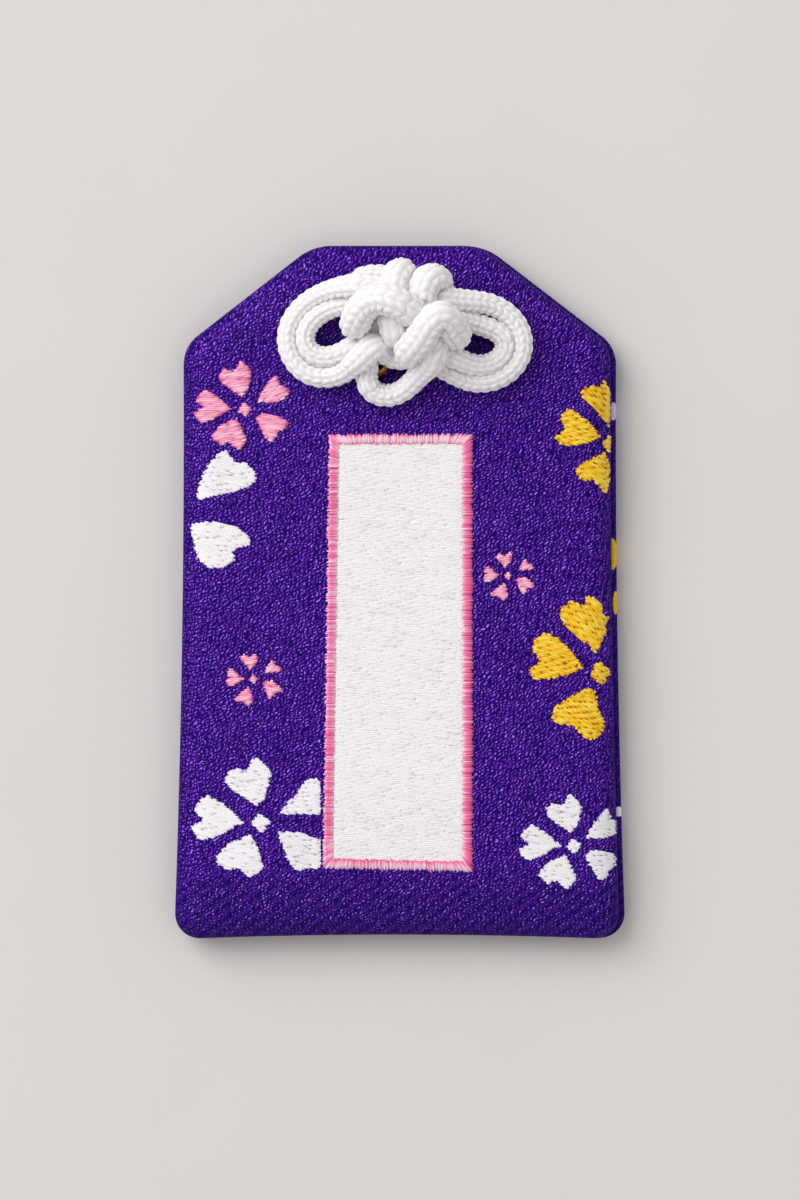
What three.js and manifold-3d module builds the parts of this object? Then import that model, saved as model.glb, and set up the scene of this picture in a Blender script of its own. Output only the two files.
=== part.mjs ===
// Omamori charm: a padded brocade pouch with embroidered cherry blossoms, tied at its mouth by a cord.
// It lies on its back. Millimetres, +X right, +Y toward the knotted mouth, +Z up through the front panel.

import * as THREE from 'three';
import { mergeVertices } from 'three/addons/utils/BufferGeometryUtils.js';
import Module from 'manifold-3d';

const wasm = await Module();
wasm.setup();

// Pouch outline, seen from the front
const POUCH_HEIGHT = 75;
const BASE_HALF_WIDTH = 24.4;
const SHOULDER_HALF_WIDTH = 23.4;
const MOUTH_HALF_WIDTH = 9.2;
const SHOULDER_DROP = 10.9;
const BASE_RADIUS = 2.7;
const SHOULDER_RADIUS = 4;
const MOUTH_RADIUS = 6;
const LEAST_RADIUS = 0.4;
const SIDE_DRAW_IN = 0.3;
const BASE_DRAW_IN = 0.4;
const BACK_LIP = 0.6;

// Pouch section
const CLOTH = 0.5;
const BACK_ROLL_WIDTH = 3;
const BACK_ROLL_HEIGHT = 2;
const FRONT_ROLL_WIDTH = 4.5;
const FRONT_ROLL_HEIGHT = 2.2;
const CROWN_HEIGHT = 0.8;
const CROWN_INSET = 19;

// Gaps between pieces that touch on the real charm
const SEAT_GAP = 0.3;

// Seam thread
const THREAD_DIAMETER = 0.4;

// Contents of the pouch
const LINING = 0.3;
const LINING_SHORT = 2.8;
const TABLET_WIDTH = 30;
const TABLET_HEIGHT = 48;
const TABLET_THICKNESS = 1.2;
const TABLET_CHAMFER = 5;
const PAPER = 0.25;
const PAPER_SHORT = 3;
const TABLET_BASE_GAP = 1;

// Eyelets
const EYELET_SPACING = 6.4;
const EYELET_DROP = 12.2;
const EYELET_BORE = 3.2;
const EYELET_WALL = 0.35;
const EYELET_FLANGE = 4.8;
const EYELET_LIP = 4.9;
const FLANGE_THICKNESS = 0.45;
const LIP_THICKNESS = 0.3;
const WASHER_DIAMETER = 6;
const WASHER_THICKNESS = 0.3;

// Cord
const CORD_DIAMETER = 2;
const CORD_GAP = 0.54;
const CORD_STEP = 0.7;
const TAIL_BEND = 1.7;
const TAIL_HEIGHT = 2.25;
const WHIPPING_LENGTH = 3;
const WHIPPING_WALL = 0.3;
const WHIPPING_GAP = 0.2;

// Embroidery
const STITCH = 0.35;
const BORDER_STITCH = 0.45;
const LABEL_WIDTH = 16;
const LABEL_FOOT = 7.4;
const LABEL_HEAD = 20.4;
const LABEL_BORDER = 1.05;
const SKIN_START = 28;

// Mesh fineness
const EDGE_STEPS = 5;
const CORNER_STEPS = 4;
const ROLL_STEPS = 5;
const CROWN_STEPS = 3;
const ROUND_STEPS = 24;
const THREAD_STEPS = 90;
const THREAD_SIDES = 6;
const TAIL_STEPS = 16;
const CORD_SIDES = 8;
const ROUTE_DIVISIONS = 3000;

// Blossoms: side, distance in from that side's edge, height above the base or below the shoulder, reach,
// colour, and the turn of each petal in degrees
const PINK = 0xf2a5c1;
const WHITE = 0xf1edf0;
const YELLOW = 0xe4b837;
const BLOSSOMS = [
  { name: 'upper_left_pink', side: -1, inFrom: 6.8, below: 6.9, reach: 5.1, colour: PINK,
    turns: [100, 32, -34, -120, 178] },
  { name: 'left_edge_white', side: -1, inFrom: 0.9, below: 18, reach: 7.6, colour: WHITE,
    turns: [40, -42], bare: true },
  { name: 'lower_left_pink', side: -1, inFrom: 8.2, above: 28.1, reach: 3.2, colour: PINK,
    turns: [100, 32, -34, -120, 178] },
  { name: 'lower_left_white', side: -1, inFrom: 9.2, above: 12.6, reach: 6.8, colour: WHITE,
    turns: [112, 174, 243, -30, 32] },
  { name: 'upper_right_yellow', side: 1, inFrom: 0.9, below: 10.6, reach: 6, colour: YELLOW,
    turns: [102, 162, 241] },
  { name: 'right_yellow', side: 1, inFrom: 2, above: 28.8, reach: 7.7, colour: YELLOW,
    turns: [102, 163, 241] },
  { name: 'middle_right_pink', side: 1, inFrom: 11.5, above: 39.2, reach: 2.9, colour: PINK,
    turns: [100, 32, -34, -120, 178] },
  { name: 'lower_right_white', side: 1, inFrom: 4.8, above: 10.1, reach: 5.2, colour: WHITE,
    turns: [108, 178, 248, 35, -37] },
];

// Places worked out from the sizes above
const HALF_HEIGHT = POUCH_HEIGHT / 2;
const SEAM_GAP = THREAD_DIAMETER + 2 * SEAT_GAP;
const FRONT_SEAM_Z = BACK_ROLL_HEIGHT + SEAM_GAP;
const EYELET_X = EYELET_SPACING / 2;
const EYELET_Y = HALF_HEIGHT - EYELET_DROP;
const SHOULDER_Y = HALF_HEIGHT - SHOULDER_DROP;
const LINING_TOP = EYELET_Y - WASHER_DIAMETER / 2 - LINING_SHORT;
const LABEL_HEIGHT = POUCH_HEIGHT - LABEL_FOOT - LABEL_HEAD;
const LABEL_CENTRE_Y = (LABEL_FOOT - LABEL_HEAD) / 2;
const SECTION_HEIGHT = 40;

const corners = [
  { x: BASE_HALF_WIDTH, y: -HALF_HEIGHT, radius: BASE_RADIUS, bow: SIDE_DRAW_IN },
  { x: SHOULDER_HALF_WIDTH, y: SHOULDER_Y, radius: SHOULDER_RADIUS, bow: 0 },
  { x: MOUTH_HALF_WIDTH, y: HALF_HEIGHT, radius: MOUTH_RADIUS, bow: 0 },
  { x: -MOUTH_HALF_WIDTH, y: HALF_HEIGHT, radius: MOUTH_RADIUS, bow: 0 },
  { x: -SHOULDER_HALF_WIDTH, y: SHOULDER_Y, radius: SHOULDER_RADIUS, bow: SIDE_DRAW_IN },
  { x: -BASE_HALF_WIDTH, y: -HALF_HEIGHT, radius: BASE_RADIUS, bow: BASE_DRAW_IN },
];

// Each side of the outline with its direction and inward normal
const sides = corners.map((corner, index) => {
  const next = corners[(index + 1) % corners.length];
  const along = new THREE.Vector2(next.x - corner.x, next.y - corner.y).normalize();
  return { corner, along, inward: new THREE.Vector2(-along.y, along.x) };
});

// Points of the outline drawn in by an inset, with the same count at every inset
function outline(inset) {
  const arcs = sides.map((side, index) => {
    const before = sides[(index + sides.length - 1) % sides.length];
    const radius = Math.max(side.corner.radius - inset, LEAST_RADIUS);
    const spread = 1 + before.inward.dot(side.inward);
    const reach = (inset + radius) / spread;
    const centre = new THREE.Vector2(side.corner.x, side.corner.y)
      .addScaledVector(before.inward, reach)
      .addScaledVector(side.inward, reach);
    const start = before.inward.angle();
    const turn = THREE.MathUtils.euclideanModulo(side.inward.angle() - start, 2 * Math.PI);
    return Array.from({ length: CORNER_STEPS + 1 }, (_, step) => {
      const angle = start + (turn * step) / CORNER_STEPS;
      return new THREE.Vector2(centre.x - radius * Math.cos(angle), centre.y - radius * Math.sin(angle));
    });
  });
  return arcs.flatMap((arc, index) => {
    const from = arc[CORNER_STEPS];
    const to = arcs[(index + 1) % arcs.length][0];
    const between = Array.from({ length: EDGE_STEPS - 1 }, (_, step) => {
      const share = (step + 1) / EDGE_STEPS;
      const bow = sides[index].corner.bow * 4 * share * (1 - share);
      return from.clone().lerp(to, share).addScaledVector(sides[index].inward, bow);
    });
    return [...arc, ...between];
  });
}

// The front panel stops short of the back one along its right edge
const FRONT_SQUEEZE = 1 - BACK_LIP / (2 * BASE_HALF_WIDTH);

function frontX(x) {
  return x * FRONT_SQUEEZE - BACK_LIP / 2;
}

// Distance from a point to the nearest side of the outline
function insetAt(x, y) {
  const distances = sides.map(({ corner, inward }) => (x - corner.x) * inward.x + (y - corner.y) * inward.y);
  return Math.max(0, Math.min(...distances));
}

// Height of the front panel's outer face at an inset
function frontHeight(inset) {
  const rolled = Math.min(inset / FRONT_ROLL_WIDTH, 1);
  const roll = FRONT_ROLL_HEIGHT * Math.sqrt(1 - (1 - rolled) ** 2);
  const crowned = THREE.MathUtils.clamp((inset - FRONT_ROLL_WIDTH) / (CROWN_INSET - FRONT_ROLL_WIDTH), 0, 1);
  return FRONT_SEAM_Z + roll + CROWN_HEIGHT * Math.sin((crowned * Math.PI) / 2);
}

function ring(inset, z, place = (x) => x) {
  return outline(inset).map((point) => new THREE.Vector3(place(point.x), point.y, z));
}

// Rings of a surface parallel to the front panel, from its crown out to an angle of the edge roll
function frontRings(offset, fromDegrees = 0) {
  const rings = [];
  for (let step = CROWN_STEPS; step > 0; step -= 1) {
    const inset = FRONT_ROLL_WIDTH + ((CROWN_INSET - FRONT_ROLL_WIDTH) * step) / CROWN_STEPS;
    rings.push(ring(inset, frontHeight(inset) + offset, frontX));
  }
  for (let step = ROLL_STEPS; step >= 0; step -= 1) {
    const angle = THREE.MathUtils.degToRad(fromDegrees + ((90 - fromDegrees) * step) / ROLL_STEPS);
    const inset = FRONT_ROLL_WIDTH - (FRONT_ROLL_WIDTH + offset) * Math.cos(angle);
    rings.push(ring(inset, FRONT_SEAM_Z + (FRONT_ROLL_HEIGHT + offset) * Math.sin(angle), frontX));
  }
  return rings;
}

// Rings of a surface parallel to the back panel, from its flat face out to the seam
function backRings(offset) {
  return Array.from({ length: ROLL_STEPS + 1 }, (_, step) => {
    const angle = (Math.PI / 2) * (1 - step / ROLL_STEPS);
    const inset = BACK_ROLL_WIDTH - (BACK_ROLL_WIDTH + offset) * Math.cos(angle);
    return ring(inset, BACK_ROLL_HEIGHT * (1 - Math.sin(angle)) - offset * Math.sin(angle));
  });
}

// Closed solid through rings of equal count, the first capped upward and the last downward
function loft(rings) {
  const count = rings[0].length;
  const positions = rings.flat().flatMap((point) => [point.x, point.y, point.z]);
  const index = [];
  for (let row = 0; row + 1 < rings.length; row += 1) {
    for (let column = 0; column < count; column += 1) {
      const next = (column + 1) % count;
      const upper = row * count;
      const lower = upper + count;
      index.push(upper + column, lower + column, lower + next);
      index.push(upper + column, lower + next, upper + next);
    }
  }
  const last = (rings.length - 1) * count;
  for (const [a, b, c] of THREE.ShapeUtils.triangulateShape(rings[0], [])) {
    index.push(a, b, c);
  }
  for (const [a, b, c] of THREE.ShapeUtils.triangulateShape(rings.at(-1), [])) {
    index.push(last + a, last + c, last + b);
  }
  const geometry = new THREE.BufferGeometry();
  geometry.setAttribute('position', new THREE.Float32BufferAttribute(positions, 3));
  geometry.setIndex(index);
  return geometry;
}

function toSolid(geometry) {
  const bare = geometry.clone();
  bare.deleteAttribute('normal');
  bare.deleteAttribute('uv');
  const merged = mergeVertices(bare, 1e-4);
  return new wasm.Manifold(new wasm.Mesh({
    numProp: 3,
    vertProperties: merged.attributes.position.array,
    triVerts: new Uint32Array(merged.index.array),
  }));
}

function toGeometry(solid) {
  const mesh = solid.getMesh();
  const geometry = new THREE.BufferGeometry();
  geometry.setAttribute('position', new THREE.BufferAttribute(new Float32Array(mesh.vertProperties), 3));
  geometry.setIndex([...mesh.triVerts]);
  geometry.computeVertexNormals();
  return geometry;
}

// Upright prism of a shape, tall enough to cut right through the pouch
function prism(shape, curveSteps = 4) {
  const options = { depth: SECTION_HEIGHT, bevelEnabled: false, curveSegments: curveSteps };
  return toSolid(new THREE.ExtrudeGeometry(shape, options).translate(0, 0, -SECTION_HEIGHT / 2));
}

function rectangle(width, height, centreY) {
  const shape = new THREE.Shape();
  shape.moveTo(-width / 2, centreY - height / 2);
  shape.lineTo(width / 2, centreY - height / 2);
  shape.lineTo(width / 2, centreY + height / 2);
  shape.lineTo(-width / 2, centreY + height / 2);
  shape.closePath();
  return shape;
}

function disc(radius, x, y) {
  const shape = new THREE.Shape();
  shape.absarc(x, y, radius, 0, 2 * Math.PI);
  return shape;
}

// Tube of round section along a smooth curve through points
function tube(points, diameter, steps, sectionSides) {
  const curve = new THREE.CatmullRomCurve3(points);
  curve.arcLengthDivisions = steps * 4;
  const section = new THREE.Shape();
  for (let side = 0; side < sectionSides; side += 1) {
    const angle = (2 * Math.PI * side) / sectionSides;
    const x = (diameter / 2) * Math.cos(angle);
    const y = (diameter / 2) * Math.sin(angle);
    if (side === 0) section.moveTo(x, y);
    else section.lineTo(x, y);
  }
  section.closePath();
  return new THREE.ExtrudeGeometry(section, { steps, bevelEnabled: false, extrudePath: curve });
}

// Turned ring from a closed profile of radius and height
function turned(profile) {
  const points = [...profile, profile[0]].map(([radius, z]) => new THREE.Vector2(radius, z));
  return new THREE.LatheGeometry(points, ROUND_STEPS).rotateX(Math.PI / 2);
}

const group = new THREE.Group();
group.name = 'omamori_charm';

function addPiece(name, geometry, colour, roughness, metalness = 0) {
  const material = new THREE.MeshStandardMaterial({ color: colour, roughness, metalness });
  const mesh = new THREE.Mesh(geometry, material);
  mesh.name = name;
  group.add(mesh);
  return mesh;
}

const PURPLE = 0x3e197c;
const COTTON = 0xe9e4d8;
const BRASS = 0xc9a24a;
const CORD_WHITE = 0xf6f3f4;

// Eyelet levels, stacked outward from both faces of the front panel
const PANEL_TOP = frontHeight(insetAt(EYELET_X, EYELET_Y));
const crownSlope = CROWN_HEIGHT / (CROWN_INSET - FRONT_ROLL_WIDTH);
const FLANGE_BASE = PANEL_TOP + SEAT_GAP + (crownSlope * EYELET_FLANGE) / 2;
const FLANGE_TOP = FLANGE_BASE + FLANGE_THICKNESS;
const WASHER_TOP = PANEL_TOP - CLOTH - SEAT_GAP - (crownSlope * WASHER_DIAMETER) / 2;
const WASHER_BASE = WASHER_TOP - WASHER_THICKNESS;
const LIP_TOP = WASHER_BASE - SEAT_GAP / 2;
const LIP_BASE = LIP_TOP - LIP_THICKNESS;
const BARREL_RADIUS = EYELET_BORE / 2 + EYELET_WALL;
const EYELET_HOLE_RADIUS = BARREL_RADIUS + SEAT_GAP;

// Pouch cloth
function frontPanel() {
  const shell = toSolid(loft([...frontRings(0), ...frontRings(-CLOTH).reverse()]));
  const holes = [-EYELET_X, EYELET_X].map((x) => prism(disc(EYELET_HOLE_RADIUS, x, EYELET_Y), ROUND_STEPS));
  return toGeometry(shell.subtract(holes[0].add(holes[1])));
}

function backPanel() {
  return loft([...backRings(-CLOTH), ...backRings(0).reverse()]);
}

// Thread lying in the groove between the panels, from shoulder to shoulder round the base
function seamThread() {
  const inset = BACK_LIP + THREAD_DIAMETER;
  const points = ring(inset, BACK_ROLL_HEIGHT + SEAM_GAP / 2);
  const perSide = CORNER_STEPS + EDGE_STEPS;
  const leftShoulder = 4 * perSide + CORNER_STEPS;
  const run = [...points.slice(leftShoulder), ...points.slice(0, perSide + 1)];
  return tube(run, THREAD_DIAMETER, THREAD_STEPS, THREAD_SIDES);
}

addPiece('front_panel', frontPanel(), PURPLE, 0.55);
addPiece('back_panel', backPanel(), PURPLE, 0.55);
addPiece('seam_thread', seamThread(), 0x2b1060, 0.7);

// Lining, tablet in its paper, and wadding, stacked from the back panel up
const LINING_BASE = CLOTH + SEAT_GAP;
const PAPER_BASE = LINING_BASE + LINING + SEAT_GAP;
const TABLET_BASE = PAPER_BASE + PAPER + SEAT_GAP;
const PAPER_HEIGHT = TABLET_THICKNESS + 2 * (PAPER + SEAT_GAP);
const WADDING_BASE = PAPER_BASE + PAPER_HEIGHT + SEAT_GAP;
const TABLET_FOOT = -HALF_HEIGHT + BACK_ROLL_WIDTH + TABLET_BASE_GAP;

function backLining() {
  const sheet = new THREE.Shape(outline(BACK_ROLL_WIDTH + CLOTH));
  const depth = { depth: LINING, bevelEnabled: false };
  const solid = toSolid(new THREE.ExtrudeGeometry(sheet, depth).translate(0, 0, LINING_BASE));
  return toGeometry(solid.intersect(belowLine(LINING_TOP)));
}

function frontWadding() {
  const offset = -(CLOTH + SEAT_GAP);
  const startAngle = Math.asin((WADDING_BASE + LINING - FRONT_SEAM_Z) / (FRONT_ROLL_HEIGHT + offset));
  const rings = frontRings(offset, THREE.MathUtils.radToDeg(startAngle));
  const foot = rings.at(-1).map((point) => new THREE.Vector3(point.x, point.y, WADDING_BASE));
  return toGeometry(toSolid(loft([...rings, foot])).intersect(belowLine(LINING_TOP)));
}

// Half space of the pouch below a level of Y
function belowLine(top) {
  const bottom = -POUCH_HEIGHT;
  return prism(rectangle(POUCH_HEIGHT, top - bottom, (top + bottom) / 2));
}

function innerTablet() {
  const half = TABLET_WIDTH / 2;
  const top = TABLET_FOOT + TABLET_HEIGHT;
  const shape = new THREE.Shape();
  shape.moveTo(-half, TABLET_FOOT);
  shape.lineTo(half, TABLET_FOOT);
  shape.lineTo(half, top - TABLET_CHAMFER);
  shape.lineTo(half - TABLET_CHAMFER, top);
  shape.lineTo(-half + TABLET_CHAMFER, top);
  shape.lineTo(-half, top - TABLET_CHAMFER);
  shape.closePath();
  const depth = { depth: TABLET_THICKNESS, bevelEnabled: false };
  return new THREE.ExtrudeGeometry(shape, depth).translate(0, 0, TABLET_BASE);
}

// Paper folded round the tablet as a band, open at both ends
function tabletWrapper() {
  const innerWidth = TABLET_WIDTH + 2 * SEAT_GAP;
  const band = rectangle(innerWidth + 2 * PAPER, PAPER_HEIGHT, 0);
  band.holes.push(rectangle(innerWidth, PAPER_HEIGHT - 2 * PAPER, 0));
  const length = TABLET_HEIGHT - TABLET_CHAMFER - PAPER_SHORT;
  return new THREE.ExtrudeGeometry(band, { depth: length, bevelEnabled: false })
    .rotateX(-Math.PI / 2)
    .translate(0, TABLET_FOOT + PAPER_SHORT / 2, PAPER_BASE + PAPER_HEIGHT / 2);
}

addPiece('back_lining', backLining(), COTTON, 0.85);
addPiece('inner_tablet', innerTablet(), 0xcfa873, 0.6);
addPiece('tablet_wrapper', tabletWrapper(), 0xf4f1e8, 0.8);
addPiece('front_wadding', frontWadding(), 0xf2efe6, 0.95);

// Eyelets that line the cord holes, each with a washer behind the cloth
function eyelet() {
  const bore = EYELET_BORE / 2;
  const rim = FLANGE_THICKNESS / 2;
  return turned([
    [bore, LIP_BASE],
    [EYELET_LIP / 2, LIP_BASE],
    [EYELET_LIP / 2, LIP_TOP],
    [BARREL_RADIUS, LIP_TOP],
    [BARREL_RADIUS, FLANGE_BASE],
    [EYELET_FLANGE / 2, FLANGE_BASE],
    [EYELET_FLANGE / 2 - rim / 2, FLANGE_BASE + rim],
    [EYELET_FLANGE / 2 - 2 * rim, FLANGE_TOP],
    [bore + rim, FLANGE_TOP],
    [bore, FLANGE_TOP - rim],
  ]);
}

function washer() {
  return turned([
    [EYELET_HOLE_RADIUS, WASHER_BASE],
    [WASHER_DIAMETER / 2, WASHER_BASE],
    [WASHER_DIAMETER / 2, WASHER_TOP],
    [EYELET_HOLE_RADIUS, WASHER_TOP],
  ]);
}

for (const [side, x] of [['left', -EYELET_X], ['right', EYELET_X]]) {
  addPiece(`${side}_eyelet`, eyelet(), BRASS, 0.3, 1).position.set(x, EYELET_Y, 0);
  addPiece(`${side}_eyelet_washer`, washer(), BRASS, 0.35, 1).position.set(x, EYELET_Y, 0);
}

// Cord tails: down through the eyelets, bent toward each other and whipped together
const TAIL_TOP = FLANGE_TOP - SEAT_GAP;
const KNOT_START = TAIL_TOP + SEAT_GAP;

function cordTail(side) {
  const bendTop = TAIL_HEIGHT + TAIL_BEND;
  const bendEnd = EYELET_X - TAIL_BEND;
  const rounding = TAIL_BEND * (1 - Math.SQRT1_2);
  const points = [
    [EYELET_X, TAIL_TOP],
    [EYELET_X, (TAIL_TOP + bendTop) / 2],
    [EYELET_X, bendTop],
    [EYELET_X - rounding, TAIL_HEIGHT + rounding],
    [bendEnd, TAIL_HEIGHT],
    [SEAT_GAP / 2, TAIL_HEIGHT],
  ].map(([x, z]) => new THREE.Vector3(side * x, EYELET_Y, z));
  return tube(points, CORD_DIAMETER, TAIL_STEPS, CORD_SIDES);
}

function tailWhipping() {
  const inner = CORD_DIAMETER / 2 + WHIPPING_GAP;
  const outer = inner + WHIPPING_WALL;
  const half = WHIPPING_LENGTH / 2;
  return turned([[inner, -half], [outer, -half], [outer, half], [inner, half]]).rotateY(Math.PI / 2);
}

addPiece('left_cord_tail', cordTail(-1), CORD_WHITE, 0.7);
addPiece('right_cord_tail', cordTail(1), CORD_WHITE, 0.7);
addPiece('tail_whipping', tailWhipping(), CORD_WHITE, 0.8).position.set(0, EYELET_Y, TAIL_HEIGHT);

// Centre line of the knot, chosen by hand, as X, Y below the mouth and Z above the eyelet flanges
const KNOT_ROUTE = [
  // out of the left eyelet and round the lower loop
  [-EYELET_X, -EYELET_DROP, 0], [-3.25, -12.3, 0.7], [-3.6, -12.9, 1.3], [-3.95, -14.1, 1.2],
  [-3.85, -15.4, 0.9], [-3.0, -16.3, 0.8], [-1.5, -16.65, 0.8], [-0.1, -16.3, 0.9], [1.1, -15.4, 1.4],
  [2.0, -14.2, 2.4],
  // up the right arm
  [2.75, -12.9, 3.6], [3.3, -11.6, 4.7], [3.7, -10.3, 5.1], [4.3, -9.0, 4.3], [5.4, -8.2, 2.9],
  [6.9, -8.1, 1.8],
  // right ear, inner loop
  [8.5, -8.4, 1.1], [10.1, -8.9, 1.0], [11.1, -9.9, 1.0], [11.4, -11.2, 1.0], [10.7, -12.4, 1.0],
  [9.3, -13.0, 1.2], [7.9, -13.1, 1.6], [6.6, -12.8, 2.2], [5.4, -12.2, 2.7],
  // across the middle
  [4.2, -11.2, 2.9], [3.0, -9.9, 2.8], [1.7, -8.5, 2.5], [0, -7.7, 2.6], [-1.6, -7.9, 2.6],
  [-3.0, -8.9, 2.3],
  // left ear, inner loop
  [-4.3, -10.4, 1.9], [-5.6, -11.6, 1.5], [-7.1, -12.3, 1.2], [-8.5, -12.3, 1.0], [-9.7, -11.6, 1.0],
  [-10.2, -10.5, 1.0], [-10.0, -9.3, 1.0], [-9.1, -8.1, 1.0], [-7.6, -7.0, 1.2], [-5.9, -6.4, 1.9],
  // down behind, then up the front as the short middle strand
  [-4.2, -6.5, 2.4], [-2.7, -6.8, 1.5], [-1.4, -7.5, 0.6], [-0.8, -8.6, 0.4], [-0.6, -9.9, 0.9],
  [-0.5, -10.7, 2.4], [-0.5, -10.5, 4.1], [-0.5, -9.1, 4.6], [-0.5, -7.3, 4.9], [-0.8, -5.7, 5.2],
  // middle lobe, over and behind
  [-0.8, -4.2, 5.0], [-0.2, -3.1, 4.4], [0.6, -2.9, 3.2], [0.7, -3.3, 1.6],
  // left lobe, behind the ear
  [-0.4, -3.7, 0.3], [-2.2, -3.4, 0.2], [-4.0, -3.3, 0.1], [-5.2, -4.0, 0], [-5.1, -5.5, -0.1],
  [-4.6, -7.0, 0], [-4.7, -8.5, 0.8],
  // left arch, up through the left ear
  [-4.9, -9.3, 2.6], [-4.7, -9.0, 4.6], [-4.2, -8.0, 5.9], [-3.0, -6.9, 6.8], [-1.4, -6.4, 7.3],
  [0.1, -6.7, 7.2], [0.9, -7.4, 6.6], [1.3, -8.0, 5.5], [1.9, -8.0, 4.7],
  // right lobe, over and behind
  [2.3, -6.8, 4.6], [2.1, -5.5, 4.9], [2.3, -4.1, 4.5], [3.2, -3.4, 3.6], [4.2, -3.8, 2.3],
  [4.5, -5.1, 0.9], [4.1, -6.5, 0.5],
  // behind to the right ear, then the right arch
  [3.7, -7.9, 0.5], [3.8, -9.2, 0.5], [4.5, -10.0, 0.6], [5.4, -10.3, 1.6], [5.7, -10.2, 3.4],
  [5.7, -8.9, 5.3], [5.5, -7.6, 6.4], [4.8, -6.6, 7.0],
  // down the left diagonal and behind the lower loop
  [3.9, -6.8, 7.3], [3.2, -8.0, 7.3], [2.5, -9.4, 6.9], [1.95, -10.6, 6.0], [1.6, -11.4, 4.6],
  [1.3, -12.1, 3.0], [0.6, -12.5, 1.5], [-0.4, -12.6, 0.8], [-1.3, -12.3, 0.8], [-1.9, -11.6, 1.9],
  [-2.3, -10.7, 3.3], [-2.8, -10.6, 4.2], [-3.3, -11.5, 3.7],
  // left ear, outer loop
  [-4.1, -12.7, 2.8], [-5.2, -13.6, 1.7], [-6.6, -14.3, 1.1], [-8.1, -14.6, 0.8], [-9.8, -14.3, 0.7],
  [-11.3, -13.1, 0.7], [-12.2, -11.3, 0.7], [-12.2, -9.4, 0.7], [-11.2, -7.5, 0.7], [-9.4, -6.0, 0.9],
  [-7.4, -5.2, 1.7], [-5.6, -4.8, 2.8], [-4.0, -4.7, 3.3],
  // across the top
  [-2.2, -5.0, 2.9], [-0.4, -5.3, 2.8], [1.4, -5.5, 2.6], [3.0, -5.8, 2.6], [4.6, -6.1, 2.7],
  // right ear, outer loop, and into the right eyelet
  [6.4, -6.3, 2.6], [8.2, -6.2, 1.9], [10.3, -6.6, 1.1], [12.1, -7.8, 0.8], [13.2, -9.6, 0.7],
  [13.3, -11.4, 0.7], [12.5, -13.1, 0.7], [11.1, -14.4, 0.7], [9.6, -15.0, 0.7], [8.1, -15.1, 0.7],
  [6.6, -14.6, 0.7], [5.3, -13.6, 0.8], [4.0, -12.7, 0.9], [3.3, -12.25, 0.5],
  [EYELET_X, -EYELET_DROP, 0],
];

// Lowest level of the cord's centre line over the pouch and its eyelet flanges
function cordFloor(x, y) {
  const reach = (EYELET_FLANGE + CORD_DIAMETER) / 2;
  const onFlange = Math.hypot(Math.abs(x) - EYELET_X, y - EYELET_Y) < reach;
  const ground = Math.max(frontHeight(insetAt(x, y)), onFlange ? FLANGE_TOP : 0);
  return ground + CORD_DIAMETER / 2 + SEAT_GAP;
}

// Settling of the knot: rounds, shares moved in each, fixed points at both ends, and the lengths of cord,
// in spacings and in diameters, that count as next to each other
const SETTLE_ROUNDS = 500;
const LOOSE_ROUNDS = 400;
const BEND_EASE = 0.08;
const LATE_EASE = 0.03;
const ROUTE_HOLD = 0.06;
const PUSH = 0.35;
const PINNED = 3;
const NEAR_SPACINGS = 1.7;
const NEAR_DIAMETERS = 2.6;

// The cord laid along its route, then eased apart wherever two stretches lie too close
function settle(route) {
  const smooth = new THREE.CatmullRomCurve3(route, false, 'catmullrom');
  smooth.arcLengthDivisions = ROUTE_DIVISIONS;
  const count = Math.round(smooth.getLength() / CORD_STEP) + 1;
  const home = smooth.getSpacedPoints(count - 1);
  const spacing = CORD_DIAMETER + CORD_GAP;
  const neighbours = Math.ceil((NEAR_SPACINGS * spacing) / CORD_STEP);
  let cord = home.map((point) => point.clone());
  for (let round = 0; round < SETTLE_ROUNDS; round += 1) {
    const loose = round < LOOSE_ROUNDS;
    const before = cord.map((point) => point.clone());
    const apart = new THREE.Vector3();
    const middle = new THREE.Vector3();
    for (let index = 1; index + 1 < count; index += 1) {
      middle.addVectors(before[index - 1], before[index + 1]).multiplyScalar(0.5).sub(before[index]);
      cord[index].addScaledVector(middle, loose ? BEND_EASE : LATE_EASE);
      if (loose) cord[index].addScaledVector(apart.subVectors(home[index], before[index]), ROUTE_HOLD);
    }
    const moves = cord.map(() => new THREE.Vector3());
    for (let index = 0; index < count; index += 1) {
      for (let other = index + neighbours; other < count; other += 1) {
        const distance = cord[index].distanceTo(cord[other]);
        if (distance < spacing) {
          apart.subVectors(cord[other], cord[index]).multiplyScalar((PUSH * (spacing - distance)) / distance);
          moves[index].sub(apart);
          moves[other].add(apart);
        }
      }
    }
    cord.forEach((point, index) => {
      point.add(moves[index]);
      point.z = Math.max(point.z, cordFloor(point.x, point.y));
      const pinned = index < PINNED || index >= count - PINNED;
      if (pinned) point.copy(home[index]);
    });
  }
  return cord;
}

// Least clear distance between two stretches of the cord that aren't next to each other
function leastGap(cord) {
  const neighbours = Math.ceil((NEAR_DIAMETERS * CORD_DIAMETER) / CORD_STEP);
  let least = Infinity;
  for (let index = 0; index < cord.length; index += 1) {
    for (let other = index + neighbours; other < cord.length; other += 1) {
      least = Math.min(least, cord[index].distanceTo(cord[other]) - CORD_DIAMETER);
    }
  }
  return least;
}

const route = KNOT_ROUTE.map(([x, y, z]) => new THREE.Vector3(x, HALF_HEIGHT + y, KNOT_START + z));
const knot = settle(route);
console.log(`knot cord: least gap to itself ${leastGap(knot).toFixed(2)} mm`);
addPiece('knot_cord', tube(knot, CORD_DIAMETER, knot.length, CORD_SIDES), CORD_WHITE, 0.7);

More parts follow.
